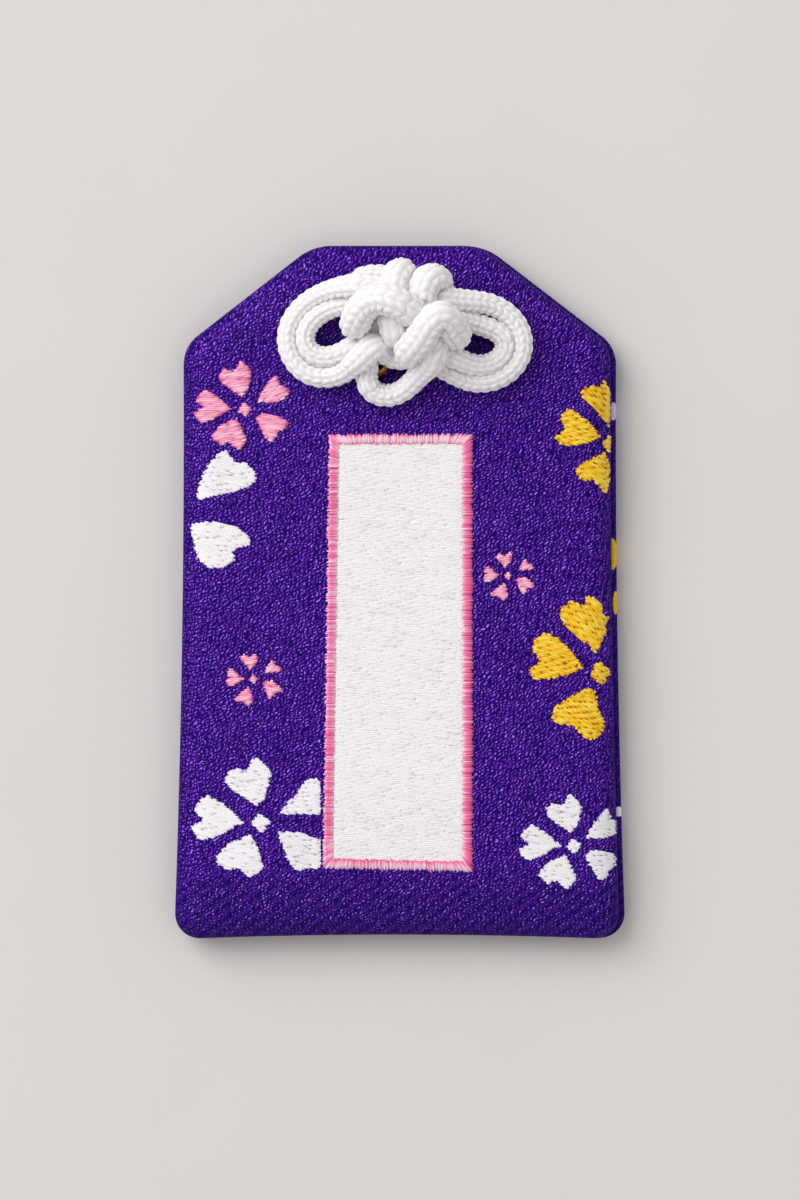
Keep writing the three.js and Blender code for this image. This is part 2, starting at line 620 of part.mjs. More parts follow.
// Embroidery, each patch cut from a skin that follows the front panel
function skin(thickness) {
  const outer = frontRings(SEAT_GAP + thickness, SKIN_START);
  const inner = frontRings(SEAT_GAP, SKIN_START);
  return toSolid(loft([...outer, ...inner.reverse()]));
}

const stitchSkin = skin(STITCH);
const borderSkin = skin(BORDER_STITCH);
const clearOfLabel = prism(labelShape(-SEAT_GAP));

// Outline of the label drawn in by an inset
function labelShape(inset) {
  return rectangle(LABEL_WIDTH - 2 * inset, LABEL_HEIGHT - 2 * inset, LABEL_CENTRE_Y);
}

function labelBorder() {
  const frame = labelShape(0);
  frame.holes.push(labelShape(LABEL_BORDER));
  return toGeometry(prism(frame).intersect(borderSkin));
}

function labelGround() {
  return toGeometry(prism(labelShape(LABEL_BORDER + SEAT_GAP)).intersect(stitchSkin));
}

addPiece('label_ground', labelGround(), 0xf2ecee, 0.75);
addPiece('label_border', labelBorder(), 0xeb6ea0, 0.6);

// Heart-shaped petal along +X, pointed at the blossom's centre and notched at its rim
function petal(reach) {
  const side = (along, across) => [along * reach, across * reach];
  const shape = new THREE.Shape();
  shape.moveTo(...side(0.28, 0));
  shape.bezierCurveTo(...side(0.42, -0.15), ...side(0.6, -0.35), ...side(0.82, -0.39));
  shape.bezierCurveTo(...side(0.95, -0.38), ...side(1, -0.26), ...side(0.99, -0.17));
  shape.lineTo(...side(0.85, 0));
  shape.lineTo(...side(0.99, 0.17));
  shape.bezierCurveTo(...side(1, 0.26), ...side(0.95, 0.38), ...side(0.82, 0.39));
  shape.bezierCurveTo(...side(0.6, 0.35), ...side(0.42, 0.15), ...side(0.28, 0));
  return shape;
}

function patch(shape, turn, x, y) {
  const solid = prism(shape).rotate([0, 0, turn]).translate([x, y, 0]);
  return toGeometry(solid.intersect(stitchSkin).subtract(clearOfLabel));
}

// Half width of the pouch at a height between base and shoulder
function halfWidth(y) {
  const share = (y + HALF_HEIGHT) / (SHOULDER_Y + HALF_HEIGHT);
  return THREE.MathUtils.lerp(BASE_HALF_WIDTH, SHOULDER_HALF_WIDTH, share);
}

const HEART_SHARE = 0.16;
for (const { name, side, inFrom, above, below, reach, colour, turns, bare } of BLOSSOMS) {
  const y = below === undefined ? above - HALF_HEIGHT : SHOULDER_Y - below;
  const x = side < 0 ? inFrom - halfWidth(y) : halfWidth(y) - BACK_LIP - inFrom;
  turns.forEach((turn, index) => {
    addPiece(`${name}_petal_${index + 1}`, patch(petal(reach), turn, x, y), colour, 0.6);
  });
  if (!bare) addPiece(`${name}_heart`, patch(disc(HEART_SHARE * reach, 0, 0), 0, x, y), colour, 0.6);
}

export default group;
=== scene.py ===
# %% [markdown]
# # An omamori charm in brocade, embroidery and braid
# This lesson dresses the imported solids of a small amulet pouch. The pouch is two pieces of silk brocade, its
# picture is machine embroidery, and its mouth is tied by one braided cord. Each of these is built from the
# way that it is made: threads are laid as single stitches, and the cord follows one unbroken line.

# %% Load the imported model
import math

import bmesh
import bpy
import numpy as np
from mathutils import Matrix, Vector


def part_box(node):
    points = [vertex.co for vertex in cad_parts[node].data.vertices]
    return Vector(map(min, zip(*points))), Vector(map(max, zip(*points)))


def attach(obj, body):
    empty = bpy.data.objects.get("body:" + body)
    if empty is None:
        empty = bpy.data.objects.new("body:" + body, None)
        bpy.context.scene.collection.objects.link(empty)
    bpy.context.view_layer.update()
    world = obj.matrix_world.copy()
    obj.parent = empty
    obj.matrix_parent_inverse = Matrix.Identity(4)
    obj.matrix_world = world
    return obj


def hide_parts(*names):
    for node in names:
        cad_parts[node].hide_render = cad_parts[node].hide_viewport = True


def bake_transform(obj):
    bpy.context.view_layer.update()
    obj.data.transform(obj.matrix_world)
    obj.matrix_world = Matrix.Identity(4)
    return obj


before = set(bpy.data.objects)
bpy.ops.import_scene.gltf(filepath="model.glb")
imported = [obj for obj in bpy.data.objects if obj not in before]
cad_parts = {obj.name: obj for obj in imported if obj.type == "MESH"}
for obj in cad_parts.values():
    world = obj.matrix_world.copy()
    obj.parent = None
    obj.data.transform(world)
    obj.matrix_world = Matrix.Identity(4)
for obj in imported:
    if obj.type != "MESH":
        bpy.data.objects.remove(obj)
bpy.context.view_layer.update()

# %% [markdown]
# ## Sizes
# The numbers are in millimetres, as on a maker's drawing, and become metres when a mesh is made. They repeat
# the sizes of the solids, so that every surface lies where its solid is.

# %% Sizes of the charm
MM = 0.001
HALF_HEIGHT = 37.5
BACK_LIP = 0.6
BASE_HALF_WIDTH = 24.4
CLOTH = 0.5
BACK_ROLL = (3.0, 2.0)
FRONT_ROLL = (4.5, 2.2)
FRONT_SEAM_Z = 3.0
CROWN_HEIGHT = 0.8
CROWN_INSET = 19.0
MIDDLE_INSET = 22.0
FLANGE_DIAMETER = 4.8
CORD_DIAMETER = 2.0
eyelet_low, eyelet_high = np.array(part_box("right_eyelet")) / MM
EYELET_X, EYELET_Y = (eyelet_low + eyelet_high)[:2] / 2
EYELET_DROP = HALF_HEIGHT - EYELET_Y
FLANGE_TOP = eyelet_high[2]

# x, y, radius and inward bow of the side that follows, anticlockwise from the right end of the base
CORNERS = np.array([
    (24.4, -37.5, 2.7, 0.3), (23.4, 26.6, 4.0, 0.0), (9.2, 37.5, 6.0, 0.0),
    (-9.2, 37.5, 6.0, 0.0), (-23.4, 26.6, 4.0, 0.3), (-24.4, -37.5, 2.7, 0.4),
])
print("eyelets at", EYELET_X.round(2), EYELET_Y.round(2), "flange top", FLANGE_TOP.round(3))

# %% [markdown]
# ## Helpers
# Every new piece is a grid of points worked out by whole arrays, then joined by four-sided faces. Small marks
# are kept on the points, such as how far along its thread a point lies, and the materials read them.

# %% Mesh helpers
def unit(vectors):
    """The same directions, each of length one."""
    return vectors / np.linalg.norm(vectors, axis=-1, keepdims=True)


def eased(share):
    """Smooth climb from 0 to 1 with the share: three squares less two cubes."""
    share = np.clip(share, 0, 1)
    return share ** 2 * (3 - 2 * share)


def grid_faces(rows, columns, closed=False):
    """Quads between neighbouring rows and columns; closed joins the last column to the first."""
    row, column = np.meshgrid(
        np.arange(rows - 1), np.arange(columns if closed else columns - 1), indexing="ij")
    after = (column + 1) % columns
    quads = [row * columns + column, row * columns + after,
             (row + 1) * columns + after, (row + 1) * columns + column]
    return np.stack(quads, axis=-1).reshape(-1, 4)


def add_mesh(name, points, faces, material, marks=None, weld=False):
    """New smooth object from points in millimetres, quads, and named numbers for each point."""
    mesh = bpy.data.meshes.new(name)
    mesh.vertices.add(len(points))
    mesh.vertices.foreach_set("co", (points * MM).astype(np.float32).ravel())
    mesh.loops.add(faces.size)
    mesh.loops.foreach_set("vertex_index", faces.astype(np.int32).ravel())
    mesh.polygons.add(len(faces))
    mesh.polygons.foreach_set("loop_start", np.arange(0, faces.size, 4, dtype=np.int32))
    mesh.update(calc_edges=True)
    for mark, values in (marks or {}).items():
        layer = mesh.attributes.new(mark, "FLOAT", "POINT")
        layer.data.foreach_set("value", np.asarray(values, np.float32).ravel())
    if weld:
        work = bmesh.new()
        work.from_mesh(mesh)
        bmesh.ops.remove_doubles(work, verts=work.verts, dist=1e-8)
        bmesh.ops.recalc_face_normals(work, faces=work.faces)
        work.to_mesh(mesh)
        work.free()
    mesh.polygons.foreach_set("use_smooth", np.ones(len(mesh.polygons), bool))
    mesh.materials.append(material)
    piece = bpy.data.objects.new(name, mesh)
    bpy.context.scene.collection.objects.link(piece)
    print(f"{name}: {len(mesh.vertices)} points, {len(mesh.polygons)} faces")
    return piece


def dress(piece, body, slot, *nodes):
    """Show a piece in place of its solids, on their body; slot, the name of its finish, is not used."""
    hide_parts(*nodes)
    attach(piece, body)


# %% [markdown]
# ## Shape of the pouch
# A pouch maker cuts the cloth to an outline, and stitching draws it in at the edge. So the surface is set by
# one number, the inset: how far a point lies in from the outline. The height climbs steeply over the rolled
# edge, then gently over the crown.

# %% Outline and height of the front
SIDE_VECTORS = np.roll(CORNERS[:, :2], -1, axis=0) - CORNERS[:, :2]
ALONG = unit(SIDE_VECTORS)
INWARD = np.stack([-ALONG[:, 1], ALONG[:, 0]], axis=1)
SIDE_STEPS = (170, 48, 48, 48, 170, 130)
CORNER_STEPS = 14


def outline(insets, least_radius=1.2):
    """Outline drawn in by each inset, in rows: arcs at the corners and bowed sides between them."""
    insets = np.atleast_1d(insets)[:, None]
    before = np.roll(INWARD, 1, axis=0)
    radius = np.maximum(CORNERS[:, 2] - insets, least_radius)
    reach = (insets + radius) / (1 + (before * INWARD).sum(axis=1))
    centre = CORNERS[None, :, :2] + reach[..., None] * (before + INWARD)
    start = np.arctan2(before[:, 1], before[:, 0])
    turn = np.mod(np.arctan2(INWARD[:, 1], INWARD[:, 0]) - start, 2 * np.pi)
    angle = start[:, None] + turn[:, None] * np.linspace(0, 1, CORNER_STEPS + 1)
    spokes = np.stack([np.cos(angle), np.sin(angle)], axis=-1)
    arcs = centre[:, :, None] - radius[..., None, None] * spokes
    parts = []
    for side, steps in enumerate(SIDE_STEPS):
        share = np.linspace(0, 1, steps + 1)[1:-1, None]
        first = arcs[:, side, -1:]
        last = arcs[:, (side + 1) % 6, :1]
        bow = CORNERS[side, 3] * 4 * share * (1 - share) * INWARD[side]
        parts += [arcs[:, side], first + (last - first) * share + bow]
    return np.concatenate(parts, axis=1)


def front_x(x):
    """Places of the front panel, which stops short of the back one along its right edge."""
    return x * (1 - BACK_LIP / (2 * BASE_HALF_WIDTH)) - BACK_LIP / 2


def inset_at(x, y):
    """Distance from a point to the nearest side of the outline, with the sides' bow."""
    offset = np.stack([x, y], axis=-1)[..., None, :] - CORNERS[:, :2]
    inward = (offset * INWARD).sum(axis=-1)
    share = np.clip((offset * ALONG).sum(axis=-1) / np.linalg.norm(SIDE_VECTORS, axis=1), 0, 1)
    return np.clip((inward - CORNERS[:, 3] * 4 * share * (1 - share)).min(axis=-1), 0, None)


def front_height(inset):
    """Quarter ellipse over the rolled edge, then a sine crown."""
    width, height = FRONT_ROLL
    rolled = np.clip(inset / width, 0, 1)
    crowned = np.clip((inset - width) / (CROWN_INSET - width), 0, 1)
    return FRONT_SEAM_Z + height * np.sqrt(1 - (1 - rolled) ** 2) + CROWN_HEIGHT * np.sin(crowned * np.pi / 2)


print("crown of the cloth at", round(float(front_height(np.array(MIDDLE_INSET))), 2), "mm")

# %% [markdown]
# ## Camera and light
# The charm is seen from straight above through a long lens. One large soft light stands at the upper left,
# and an even sky fills the shadows. Their strengths add up to about one, so a colour shows about as written.

# %% Camera and light
def rgb(red, green, blue):
    """Linear colour from the 0 to 255 numbers of a picture."""
    share = np.array([red, green, blue]) / 255
    linear = np.where(share <= 0.04045, share / 12.92, ((share + 0.055) / 1.055) ** 2.4)
    return (*linear.tolist(), 1.0)


scene = bpy.context.scene
scene.view_settings.view_transform = "Standard"
FIELD_HEIGHT = 0.1296
AIM_Y, AIM_Z = -0.000864, 0.005
lens = bpy.data.cameras.new("camera")
lens.lens = 200
lens.sensor_width = 36
lens.clip_end = 10
camera = bpy.data.objects.new("camera", lens)
camera.location = (0, AIM_Y, AIM_Z + FIELD_HEIGHT * lens.lens / lens.sensor_width)
scene.collection.objects.link(camera)
scene.camera = camera

KEY_SHARE = 0.48
SKY_SHARE = 0.6
KEY_SIZE = 1.1
key_place = np.array([-0.80, 0.66, 0.96])
distance = float(np.linalg.norm(key_place))
key = bpy.data.lights.new("key", "AREA")
key.size = KEY_SIZE
key.energy = KEY_SHARE * math.pi ** 2 * distance ** 2 * distance / key_place[2]
key_light = bpy.data.objects.new("key", key)
key_light.location = key_place
key_light.rotation_euler = (
    math.acos(key_place[2] / distance), 0, math.atan2(key_place[1], key_place[0]) + math.pi / 2)
scene.collection.objects.link(key_light)

world = bpy.data.worlds.new("sky")
world.use_nodes = True
world.node_tree.nodes["Background"].inputs["Color"].default_value = (1, 1, 1, 1)
world.node_tree.nodes["Background"].inputs["Strength"].default_value = SKY_SHARE
scene.world = world
print("key light", round(key.energy, 1), "W")

# %% [markdown]
# ## Materials
# Silk, braid and brass are told apart by how they catch light. Each material takes its colour from the marks
# on the threads or from the object's own coordinates, so the pattern stays on the piece.

# %% Node helpers
def put(tree, kind, inputs=None, **settings):
    """New node with its settings, whose inputs are linked to sockets or set to plain values."""
    node = tree.nodes.new(kind)
    for name, value in settings.items():
        setattr(node, name, value)
    for name, value in (inputs or {}).items():
        if isinstance(value, bpy.types.NodeSocket):
            tree.links.new(value, node.inputs[name])
        else:
            node.inputs[name].default_value = value
    return node


def calc(operation, first, second=0.0, clamp=False):
    """Socket that holds what one operation makes of two values, of which one or both are sockets."""
    tree = next(value.id_data for value in (first, second) if isinstance(value, bpy.types.NodeSocket))
    return put(tree, "ShaderNodeMath", {0: first, 1: second}, operation=operation, use_clamp=clamp).outputs[0]


def times(first, second):
    """Socket that holds a product."""
    return calc("MULTIPLY", first, second)


def plus(first, second, clamp=False):
    """Socket that holds a sum, kept between 0 and 1 where clamp is set."""
    return calc("ADD", first, second, clamp)


def mix(share, first, second):
    """Socket that holds a mix of two colours."""
    inputs = {"Factor": share, 6: first, 7: second}
    return put(share.id_data, "ShaderNodeMix", inputs, data_type="RGBA").outputs[2]


def smooth_step(value, low, high):
    """Socket that climbs smoothly from 0 at low to 1 at high."""
    inputs = {"Value": value, "From Min": low, "From Max": high}
    step = put(value.id_data, "ShaderNodeMapRange", inputs, interpolation_type="SMOOTHSTEP")
    return step.outputs["Result"]


def new_material(name, **values):
    """Material with a Principled shader whose plain values are set on its sockets."""
    material = bpy.data.materials.new(name)
    material.use_nodes = True
    shader = material.node_tree.nodes["Principled BSDF"]
    for socket, value in values.items():
        shader.inputs[socket.replace("_", " ")].default_value = value
    return material, material.node_tree, shader


def bump(shader, height, distance, strength=1.0):
    """Bump from a height value, its distance in metres."""
    inputs = {"Height": height, "Distance": distance, "Strength": strength}
    tree = shader.id_data
    tree.links.new(put(tree, "ShaderNodeBump", inputs).outputs["Normal"], shader.inputs["Normal"])


def mark(tree, name):
    """Socket of a number kept on the mesh's points."""
    return put(tree, "ShaderNodeAttribute", attribute_name=name).outputs["Fac"]


def object_place(tree):
    """Socket of the place on the object, in metres."""
    return put(tree, "ShaderNodeTexCoord").outputs["Object"]


def noise(place, scale, detail=0.0, output="Fac"):
    """Socket of a noise over a place."""
    inputs = {"Vector": place, "Scale": scale, "Detail": detail}
    return put(place.id_data, "ShaderNodeTexNoise", inputs).outputs[output]


def split(vector):
    """Sockets X, Y and Z of a vector."""
    return put(vector.id_data, "ShaderNodeSeparateXYZ", {0: vector}).outputs


def turned(place, angle):
    """Sockets X, Y and Z of a place turned about z by an angle."""
    inputs = {"Vector": place, "Angle": angle}
    return split(put(place.id_data, "ShaderNodeVectorRotate", inputs, rotation_type="Z_AXIS").outputs[0])


# %% [markdown]
# Brocade shows short floats of light silk over a dark ground, row beside row and staggered as the weave
# crosses them. The node group below lays them by two sine waves, one along the rows and one across, and a
# noise makes both wander. A second noise varies them, and picks the few whose glint is painted into the
# colour as a highlight.

# %% Floats of the brocade
WANDER = 2.4
STAGGER = 0.5
LEAST_FULL = 0.55
JITTER_SCALE, LUCK_SCALE = 1400.0, 4600.0
# the pattern also moves with height, so that it doesn't streak down the rolled edge
RISE_ALONG, RISE_ACROSS = 0.7, 0.5


def new_group(name, inputs, outputs):
    """Empty shader node group with float inputs and outputs."""
    group = bpy.data.node_groups.new(name, "ShaderNodeTree")
    for socket in inputs:
        kind = "NodeSocketVector" if socket == "Place" else "NodeSocketFloat"
        group.interface.new_socket(socket, in_out="INPUT", socket_type=kind)
    for socket in outputs:
        group.interface.new_socket(socket, in_out="OUTPUT", socket_type="NodeSocketFloat")
    return group, put(group, "NodeGroupInput"), put(group, "NodeGroupOutput")


floats, floats_in, floats_out = new_group(
    "silk_floats", ["Place", "Lean", "Length", "Width"], ["Float", "Glint"])
place = floats_in.outputs["Place"]
woven = turned(place, floats_in.outputs["Lean"])
along = plus(woven["X"], times(woven["Z"], RISE_ALONG))
along = calc("DIVIDE", along, floats_in.outputs["Length"])
across = plus(woven["Y"], times(woven["Z"], RISE_ACROSS))
across = calc("DIVIDE", across, floats_in.outputs["Width"])
jitter = split(noise(place, JITTER_SCALE, 1.0, "Color"))
luck = noise(place, LUCK_SCALE)


def weave_wave(turns, shift):
    """Sine of a number of turns, shifted by a share of the jitter."""
    moved = plus(turns, times(shift, WANDER))
    return calc("SINE", times(moved, 2 * math.pi))


step_wave = weave_wave(calc("SUBTRACT", along, times(across, STAGGER)), jitter["X"])
row_wave = weave_wave(across, jitter["Y"])


def crests(steps, rows):
    """Product of both waves, each climbing smoothly over its own range."""
    return times(smooth_step(step_wave, *steps), smooth_step(row_wave, *rows))


fullness = plus(times(smooth_step(luck, 0.36, 0.6), 1 - LEAST_FULL), LEAST_FULL)
floats.links.new(times(crests((-0.9, 0.5), (-0.6, 0.6)), fullness), floats_out.inputs["Float"])
# Glint: a painted highlight on the crests of a few floats
lucky = smooth_step(luck, 0.48, 0.66)
floats.links.new(times(lucky, crests((0.3, 0.95), (0.3, 0.95))), floats_out.inputs["Glint"])


def floats_node(place, lean, length, width):
    """The silk_floats group as a node, with sizes in millimetres and the lean in degrees."""
    inputs = {"Place": place, "Lean": -math.radians(lean), "Length": length * MM, "Width": width * MM}
    return put(place.id_data, "ShaderNodeGroup", inputs, node_tree=floats)


print("silk_floats nodes:", len(floats.nodes))

# %% [markdown]
# The rows of floats climb to the right, and near the base the weave gathers into twill ribs. The floats are
# painted darker near the base and low on the rolled edge, as painted shade. Petals that run on from the other
# cloth show along the lip of the back panel.

# %% Purple brocade
FLOAT_LEAN, FLOAT_LENGTH, FLOAT_WIDTH = 34, 0.58, 0.33
RIB_LEAN, RIB_PITCH, RIB_SHADE = 35, 1.05, 0.2
RIBS_FADE_IN = (-28.5, -33.5)
# heights over which the painted shade low on the rolled edge fades out
SEAM_SHADE_RANGE = (3.0, 5.0)
# how much the floats are painted darker near the seam and near the base, as painted shade
SEAM_SHADE, BASE_SHADE = 0.5, 0.55


def brocade_cloth(name, patches=()):
    """Brocade on the object's coordinates; each patch is an ellipse in x and y, and its colour."""
    material, tree, shader = new_material(name, Roughness=0.6, Specular_IOR_Level=0.06)
    here = object_place(tree)
    parts = split(here)
    laid = floats_node(here, FLOAT_LEAN, FLOAT_LENGTH, FLOAT_WIDTH).outputs
    height = laid["Float"]
    across = turned(here, -math.radians(RIB_LEAN))["Y"]
    rib = calc("SINE", times(across, 2 * math.pi / (RIB_PITCH * MM)))
    near_base = smooth_step(parts["Y"], *(y * MM for y in RIBS_FADE_IN))
    ribbed = times(rib, near_base)
    # painted shade: the floats are painted darker low on the rolled edge, towards the seam
    clear_of_seam_shade = smooth_step(parts["Z"], *(z * MM for z in SEAM_SHADE_RANGE))
    raised = times(height, plus(times(clear_of_seam_shade, SEAM_SHADE), 1 - SEAM_SHADE))
    raised = plus(raised, times(ribbed, RIB_SHADE), clamp=True)
    # painted shade: the floats are painted darker towards the base
    raised = times(raised, calc("SUBTRACT", 1.0, times(near_base, BASE_SHADE)))
    silk = mix(raised, rgb(24, 0, 90), rgb(132, 54, 226))
    # painted highlight: glinting floats are painted light lilac, except in the painted shade by the seam
    colour = mix(times(laid["Glint"], clear_of_seam_shade), silk, rgb(188, 142, 248))
    for x, y, half_x, half_y, dye in patches:
        aside = calc("DIVIDE", calc("SUBTRACT", parts["X"], x * MM), half_x * MM)
        away = calc("DIVIDE", calc("SUBTRACT", parts["Y"], y * MM), half_y * MM)
        reach = plus(times(aside, aside), times(away, away))
        inside = smooth_step(plus(reach, times(height, 0.12)), 1.06, 0.94)
        colour = mix(inside, colour, dye)
    tree.links.new(colour, shader.inputs["Base Color"])
    bump(shader, plus(height, times(ribbed, 0.8)), 0.00008, 0.7)
    print(name, "nodes:", len(tree.nodes))
    return material


brocade = brocade_cloth("purple_brocade")
YELLOW_DYE, LILAC_DYE, WHITE_DYE = rgb(240, 190, 36), rgb(214, 200, 236), rgb(240, 236, 240)
lip_brocade = brocade_cloth("lip_brocade", [
    (23.1, 19.6, 0.5, 1.0, LILAC_DYE),
    (22.95, 4.1, 0.68, 1.75, YELLOW_DYE),
    (23.38, -1.15, 0.3, 1.3, YELLOW_DYE),
    (23.7, -23.8, 0.5, 0.55, WHITE_DYE),
])

# %% [markdown]
# Embroidery silk is laid thread beside thread. Three marks do the work: tone, which holds the luck of each
# stitch together with painted shade and painted sheen, and along and across, the place on it, which draw the
# fine twist of the yarn, also painted into the colour as faint stripes of light and shade. The cord's silk is
# thicker and lets some light through, so it also scatters light under its surface.

# %% Embroidery silk and braid
# the twist of the ply is also painted into the colour as faint light and dark stripes, besides its bump
PLY_SLANT, PLY_SHADE = 2.4, 0.1


def thread_material(name, dark, middle, light, roughness=0.42, twist=0.22, **values):
    """Silk whose stitches vary between three colours by their tone, which carries painted shade and sheen,
    with a fine twist along each thread.
    """
    material, tree, shader = new_material(
        name, Roughness=roughness, Sheen_Weight=0.15, Sheen_Roughness=0.4, Specular_IOR_Level=0.35, **values)
    turns = times(mark(tree, "along"), 2 * math.pi / twist)
    ply = calc("SINE", plus(turns, times(mark(tree, "across"), PLY_SLANT)))
    shade = plus(mark(tree, "tone"), times(ply, PLY_SHADE), clamp=True)
    lower = mix(smooth_step(shade, 0.0, 0.5), dark, middle)
    tree.links.new(mix(smooth_step(shade, 0.5, 1.0), lower, light), shader.inputs["Base Color"])
    bump(shader, ply, 0.00002, 0.6)
    print(name, "nodes:", len(tree.nodes))
    return material


pink_silk = thread_material("pink_silk", rgb(214, 88, 134), rgb(252, 168, 200), rgb(255, 220, 234))
white_silk = thread_material("white_silk", rgb(172, 164, 176), rgb(248, 245, 247), rgb(254, 252, 253))
yellow_silk = thread_material("yellow_silk", rgb(168, 100, 0), rgb(254, 200, 6), rgb(255, 238, 96), 0.4)
rose_silk = thread_material("rose_silk", rgb(214, 52, 116), rgb(248, 120, 172), rgb(255, 226, 242))
label_silk = thread_material("label_silk", rgb(196, 186, 190), rgb(249, 245, 246), rgb(253, 251, 252))
purple_thread = thread_material("purple_thread", rgb(20, 2, 60), rgb(40, 14, 92), rgb(90, 55, 150))
cord_silk = thread_material(
    "white_cord", rgb(234, 228, 230), rgb(243, 240, 241), rgb(245, 243, 244), 0.6, 0.3,
    Subsurface_Weight=0.6, Subsurface_Radius=(1, 1, 1), Subsurface_Scale=0.0006)

# %% [markdown]
# ## The knot
# The mouth is closed by a braided cord that leaves one eyelet, is tied into two double ears with lobes above
# them, and goes back into the other eyelet. The route below is its centre line, given point by point. A cord
# can't pass through itself, so its stretches are then pushed apart until they press softly against each other.
# The braid is soft, so it swells where it rises free of its neighbours in the middle of the knot.

# %% Route of the knot
# x, y below the mouth and z above the eyelet flanges
KNOT_ROUTE = np.array([
    (-EYELET_X, -EYELET_DROP, 0), (-3.25, -12.3, 0.7), (-3.6, -12.9, 1.3), (-3.95, -14.1, 1.2),
    (-3.85, -15.4, 0.9), (-3.0, -16.3, 0.8), (-1.5, -16.65, 0.8), (-0.1, -16.3, 0.9),
    (1.1, -15.4, 1.4), (2.0, -14.2, 2.4),
    (2.75, -12.9, 3.2), (3.3, -11.6, 3.9), (3.7, -10.3, 4.1), (4.3, -9.0, 3.5), (5.4, -8.2, 2.7),
    (6.9, -8.1, 1.8),
    (8.5, -8.8, 1.1), (10.3, -9.2, 1.0), (11.6, -10.0, 1.0), (11.9, -11.3, 1.0), (11.1, -12.6, 1.0),
    (9.5, -13.3, 1.2), (7.9, -13.3, 1.6), (6.6, -12.8, 2.2), (5.4, -12.2, 2.7),
    (4.2, -11.2, 2.9), (3.0, -9.9, 2.8), (1.7, -8.5, 2.5), (0, -7.7, 2.6), (-1.6, -7.9, 2.6),
    (-3.0, -8.9, 2.3),
    (-4.3, -10.4, 1.9), (-5.6, -11.6, 1.5), (-7.1, -12.3, 1.2), (-8.7, -12.5, 1.0), (-10.1, -11.8, 1.0),
    (-10.7, -10.5, 1.0), (-10.5, -9.1, 1.0), (-9.5, -7.8, 1.0), (-7.8, -6.7, 1.2), (-5.9, -6.2, 1.9),
    (-4.2, -6.5, 2.4), (-2.7, -6.8, 1.5), (-1.4, -7.5, 0.6), (-0.8, -8.6, 0.4), (-0.6, -9.9, 0.9),
    (-0.5, -10.7, 2.4), (-0.5, -10.5, 4.1), (-0.5, -9.1, 4.6), (-0.5, -7.3, 4.9), (-0.8, -5.7, 5.2),
    (-0.8, -4.2, 5.0), (-0.2, -3.1, 4.4), (0.6, -2.9, 3.2), (0.7, -3.3, 1.6),
    (-0.4, -3.7, 0.3), (-2.2, -3.4, 0.2), (-4.0, -3.3, 0.1), (-5.2, -4.0, 0), (-5.1, -5.5, -0.1),
    (-4.6, -7.0, 0), (-4.7, -8.5, 0.8),
    (-4.9, -9.3, 2.6), (-4.8, -8.9, 4.6), (-4.5, -7.7, 5.8), (-3.5, -6.3, 6.6), (-1.9, -5.9, 7.2),
    (0.1, -6.7, 7.2), (0.9, -7.4, 6.6), (1.3, -8.0, 5.5), (1.9, -8.0, 4.7),
    (2.3, -6.8, 4.6), (2.1, -5.5, 4.9), (2.4, -4.2, 4.9), (3.3, -3.5, 4.4), (4.4, -4.0, 3.2),
    (4.8, -5.2, 1.5), (4.3, -6.5, 0.5),
    (3.7, -7.9, 0.5), (3.8, -9.2, 0.5), (4.3, -10.0, 0.6), (4.7, -10.3, 1.8), (4.8, -10.2, 3.8),
    (4.9, -9.4, 5.6), (4.9, -8.4, 6.8), (4.5, -7.5, 7.4),
    (3.9, -7.5, 7.6), (3.4, -8.4, 7.4), (2.9, -9.5, 7.0), (2.3, -10.7, 6.2), (1.9, -11.5, 4.9),
    (1.5, -12.1, 3.2), (0.6, -12.5, 1.5), (-0.4, -12.6, 0.8), (-1.3, -12.3, 0.8), (-1.9, -11.6, 1.9),
    (-2.3, -10.7, 3.3), (-2.8, -10.6, 4.2), (-3.3, -11.5, 3.7),
    (-4.1, -12.7, 2.8), (-5.2, -13.6, 1.7), (-6.6, -14.3, 1.1), (-8.1, -14.6, 0.8), (-9.8, -14.3, 0.7),
    (-11.3, -13.1, 0.7), (-12.2, -11.3, 0.7), (-12.2, -9.4, 0.7), (-11.2, -7.5, 0.7),
    (-9.4, -6.0, 0.9), (-7.4, -5.2, 1.7), (-5.6, -4.8, 2.8), (-4.0, -4.7, 3.3),
    (-2.2, -5.0, 2.9), (-0.4, -5.3, 2.8), (1.4, -5.5, 2.6), (3.0, -5.8, 2.6), (4.6, -6.1, 2.7),
    (6.4, -6.3, 2.6), (8.2, -6.2, 1.9), (10.3, -6.6, 1.1), (12.1, -7.8, 0.8), (13.2, -9.6, 0.7),
    (13.3, -11.4, 0.7), (12.5, -13.1, 0.7), (11.1, -14.4, 0.7), (9.6, -15.0, 0.7), (8.1, -15.1, 0.7),
    (6.6, -14.6, 0.7), (5.3, -13.6, 0.8), (4.0, -12.7, 0.9), (3.3, -12.25, 0.5),
    (EYELET_X, -EYELET_DROP, 0),
]) + (0, HALF_HEIGHT, FLANGE_TOP)
EAR_DIAMETER, MIDDLE_SWELL, LIFTED_SWELL = 2.45, 0.1, 1.0
MIDDLE_HALF, LIFT_START, SWELL_OVER = 7.0, 1.6, 3.0
SOFT_REST = 0.3
OWN_REACH = 3.6
PUSH = 0.35
# shares by which the cord is straightened and held to its route, at first and in the last rounds
FIRST_EASE, LAST_EASE = (0.08, 0.06), (0.03, 0)


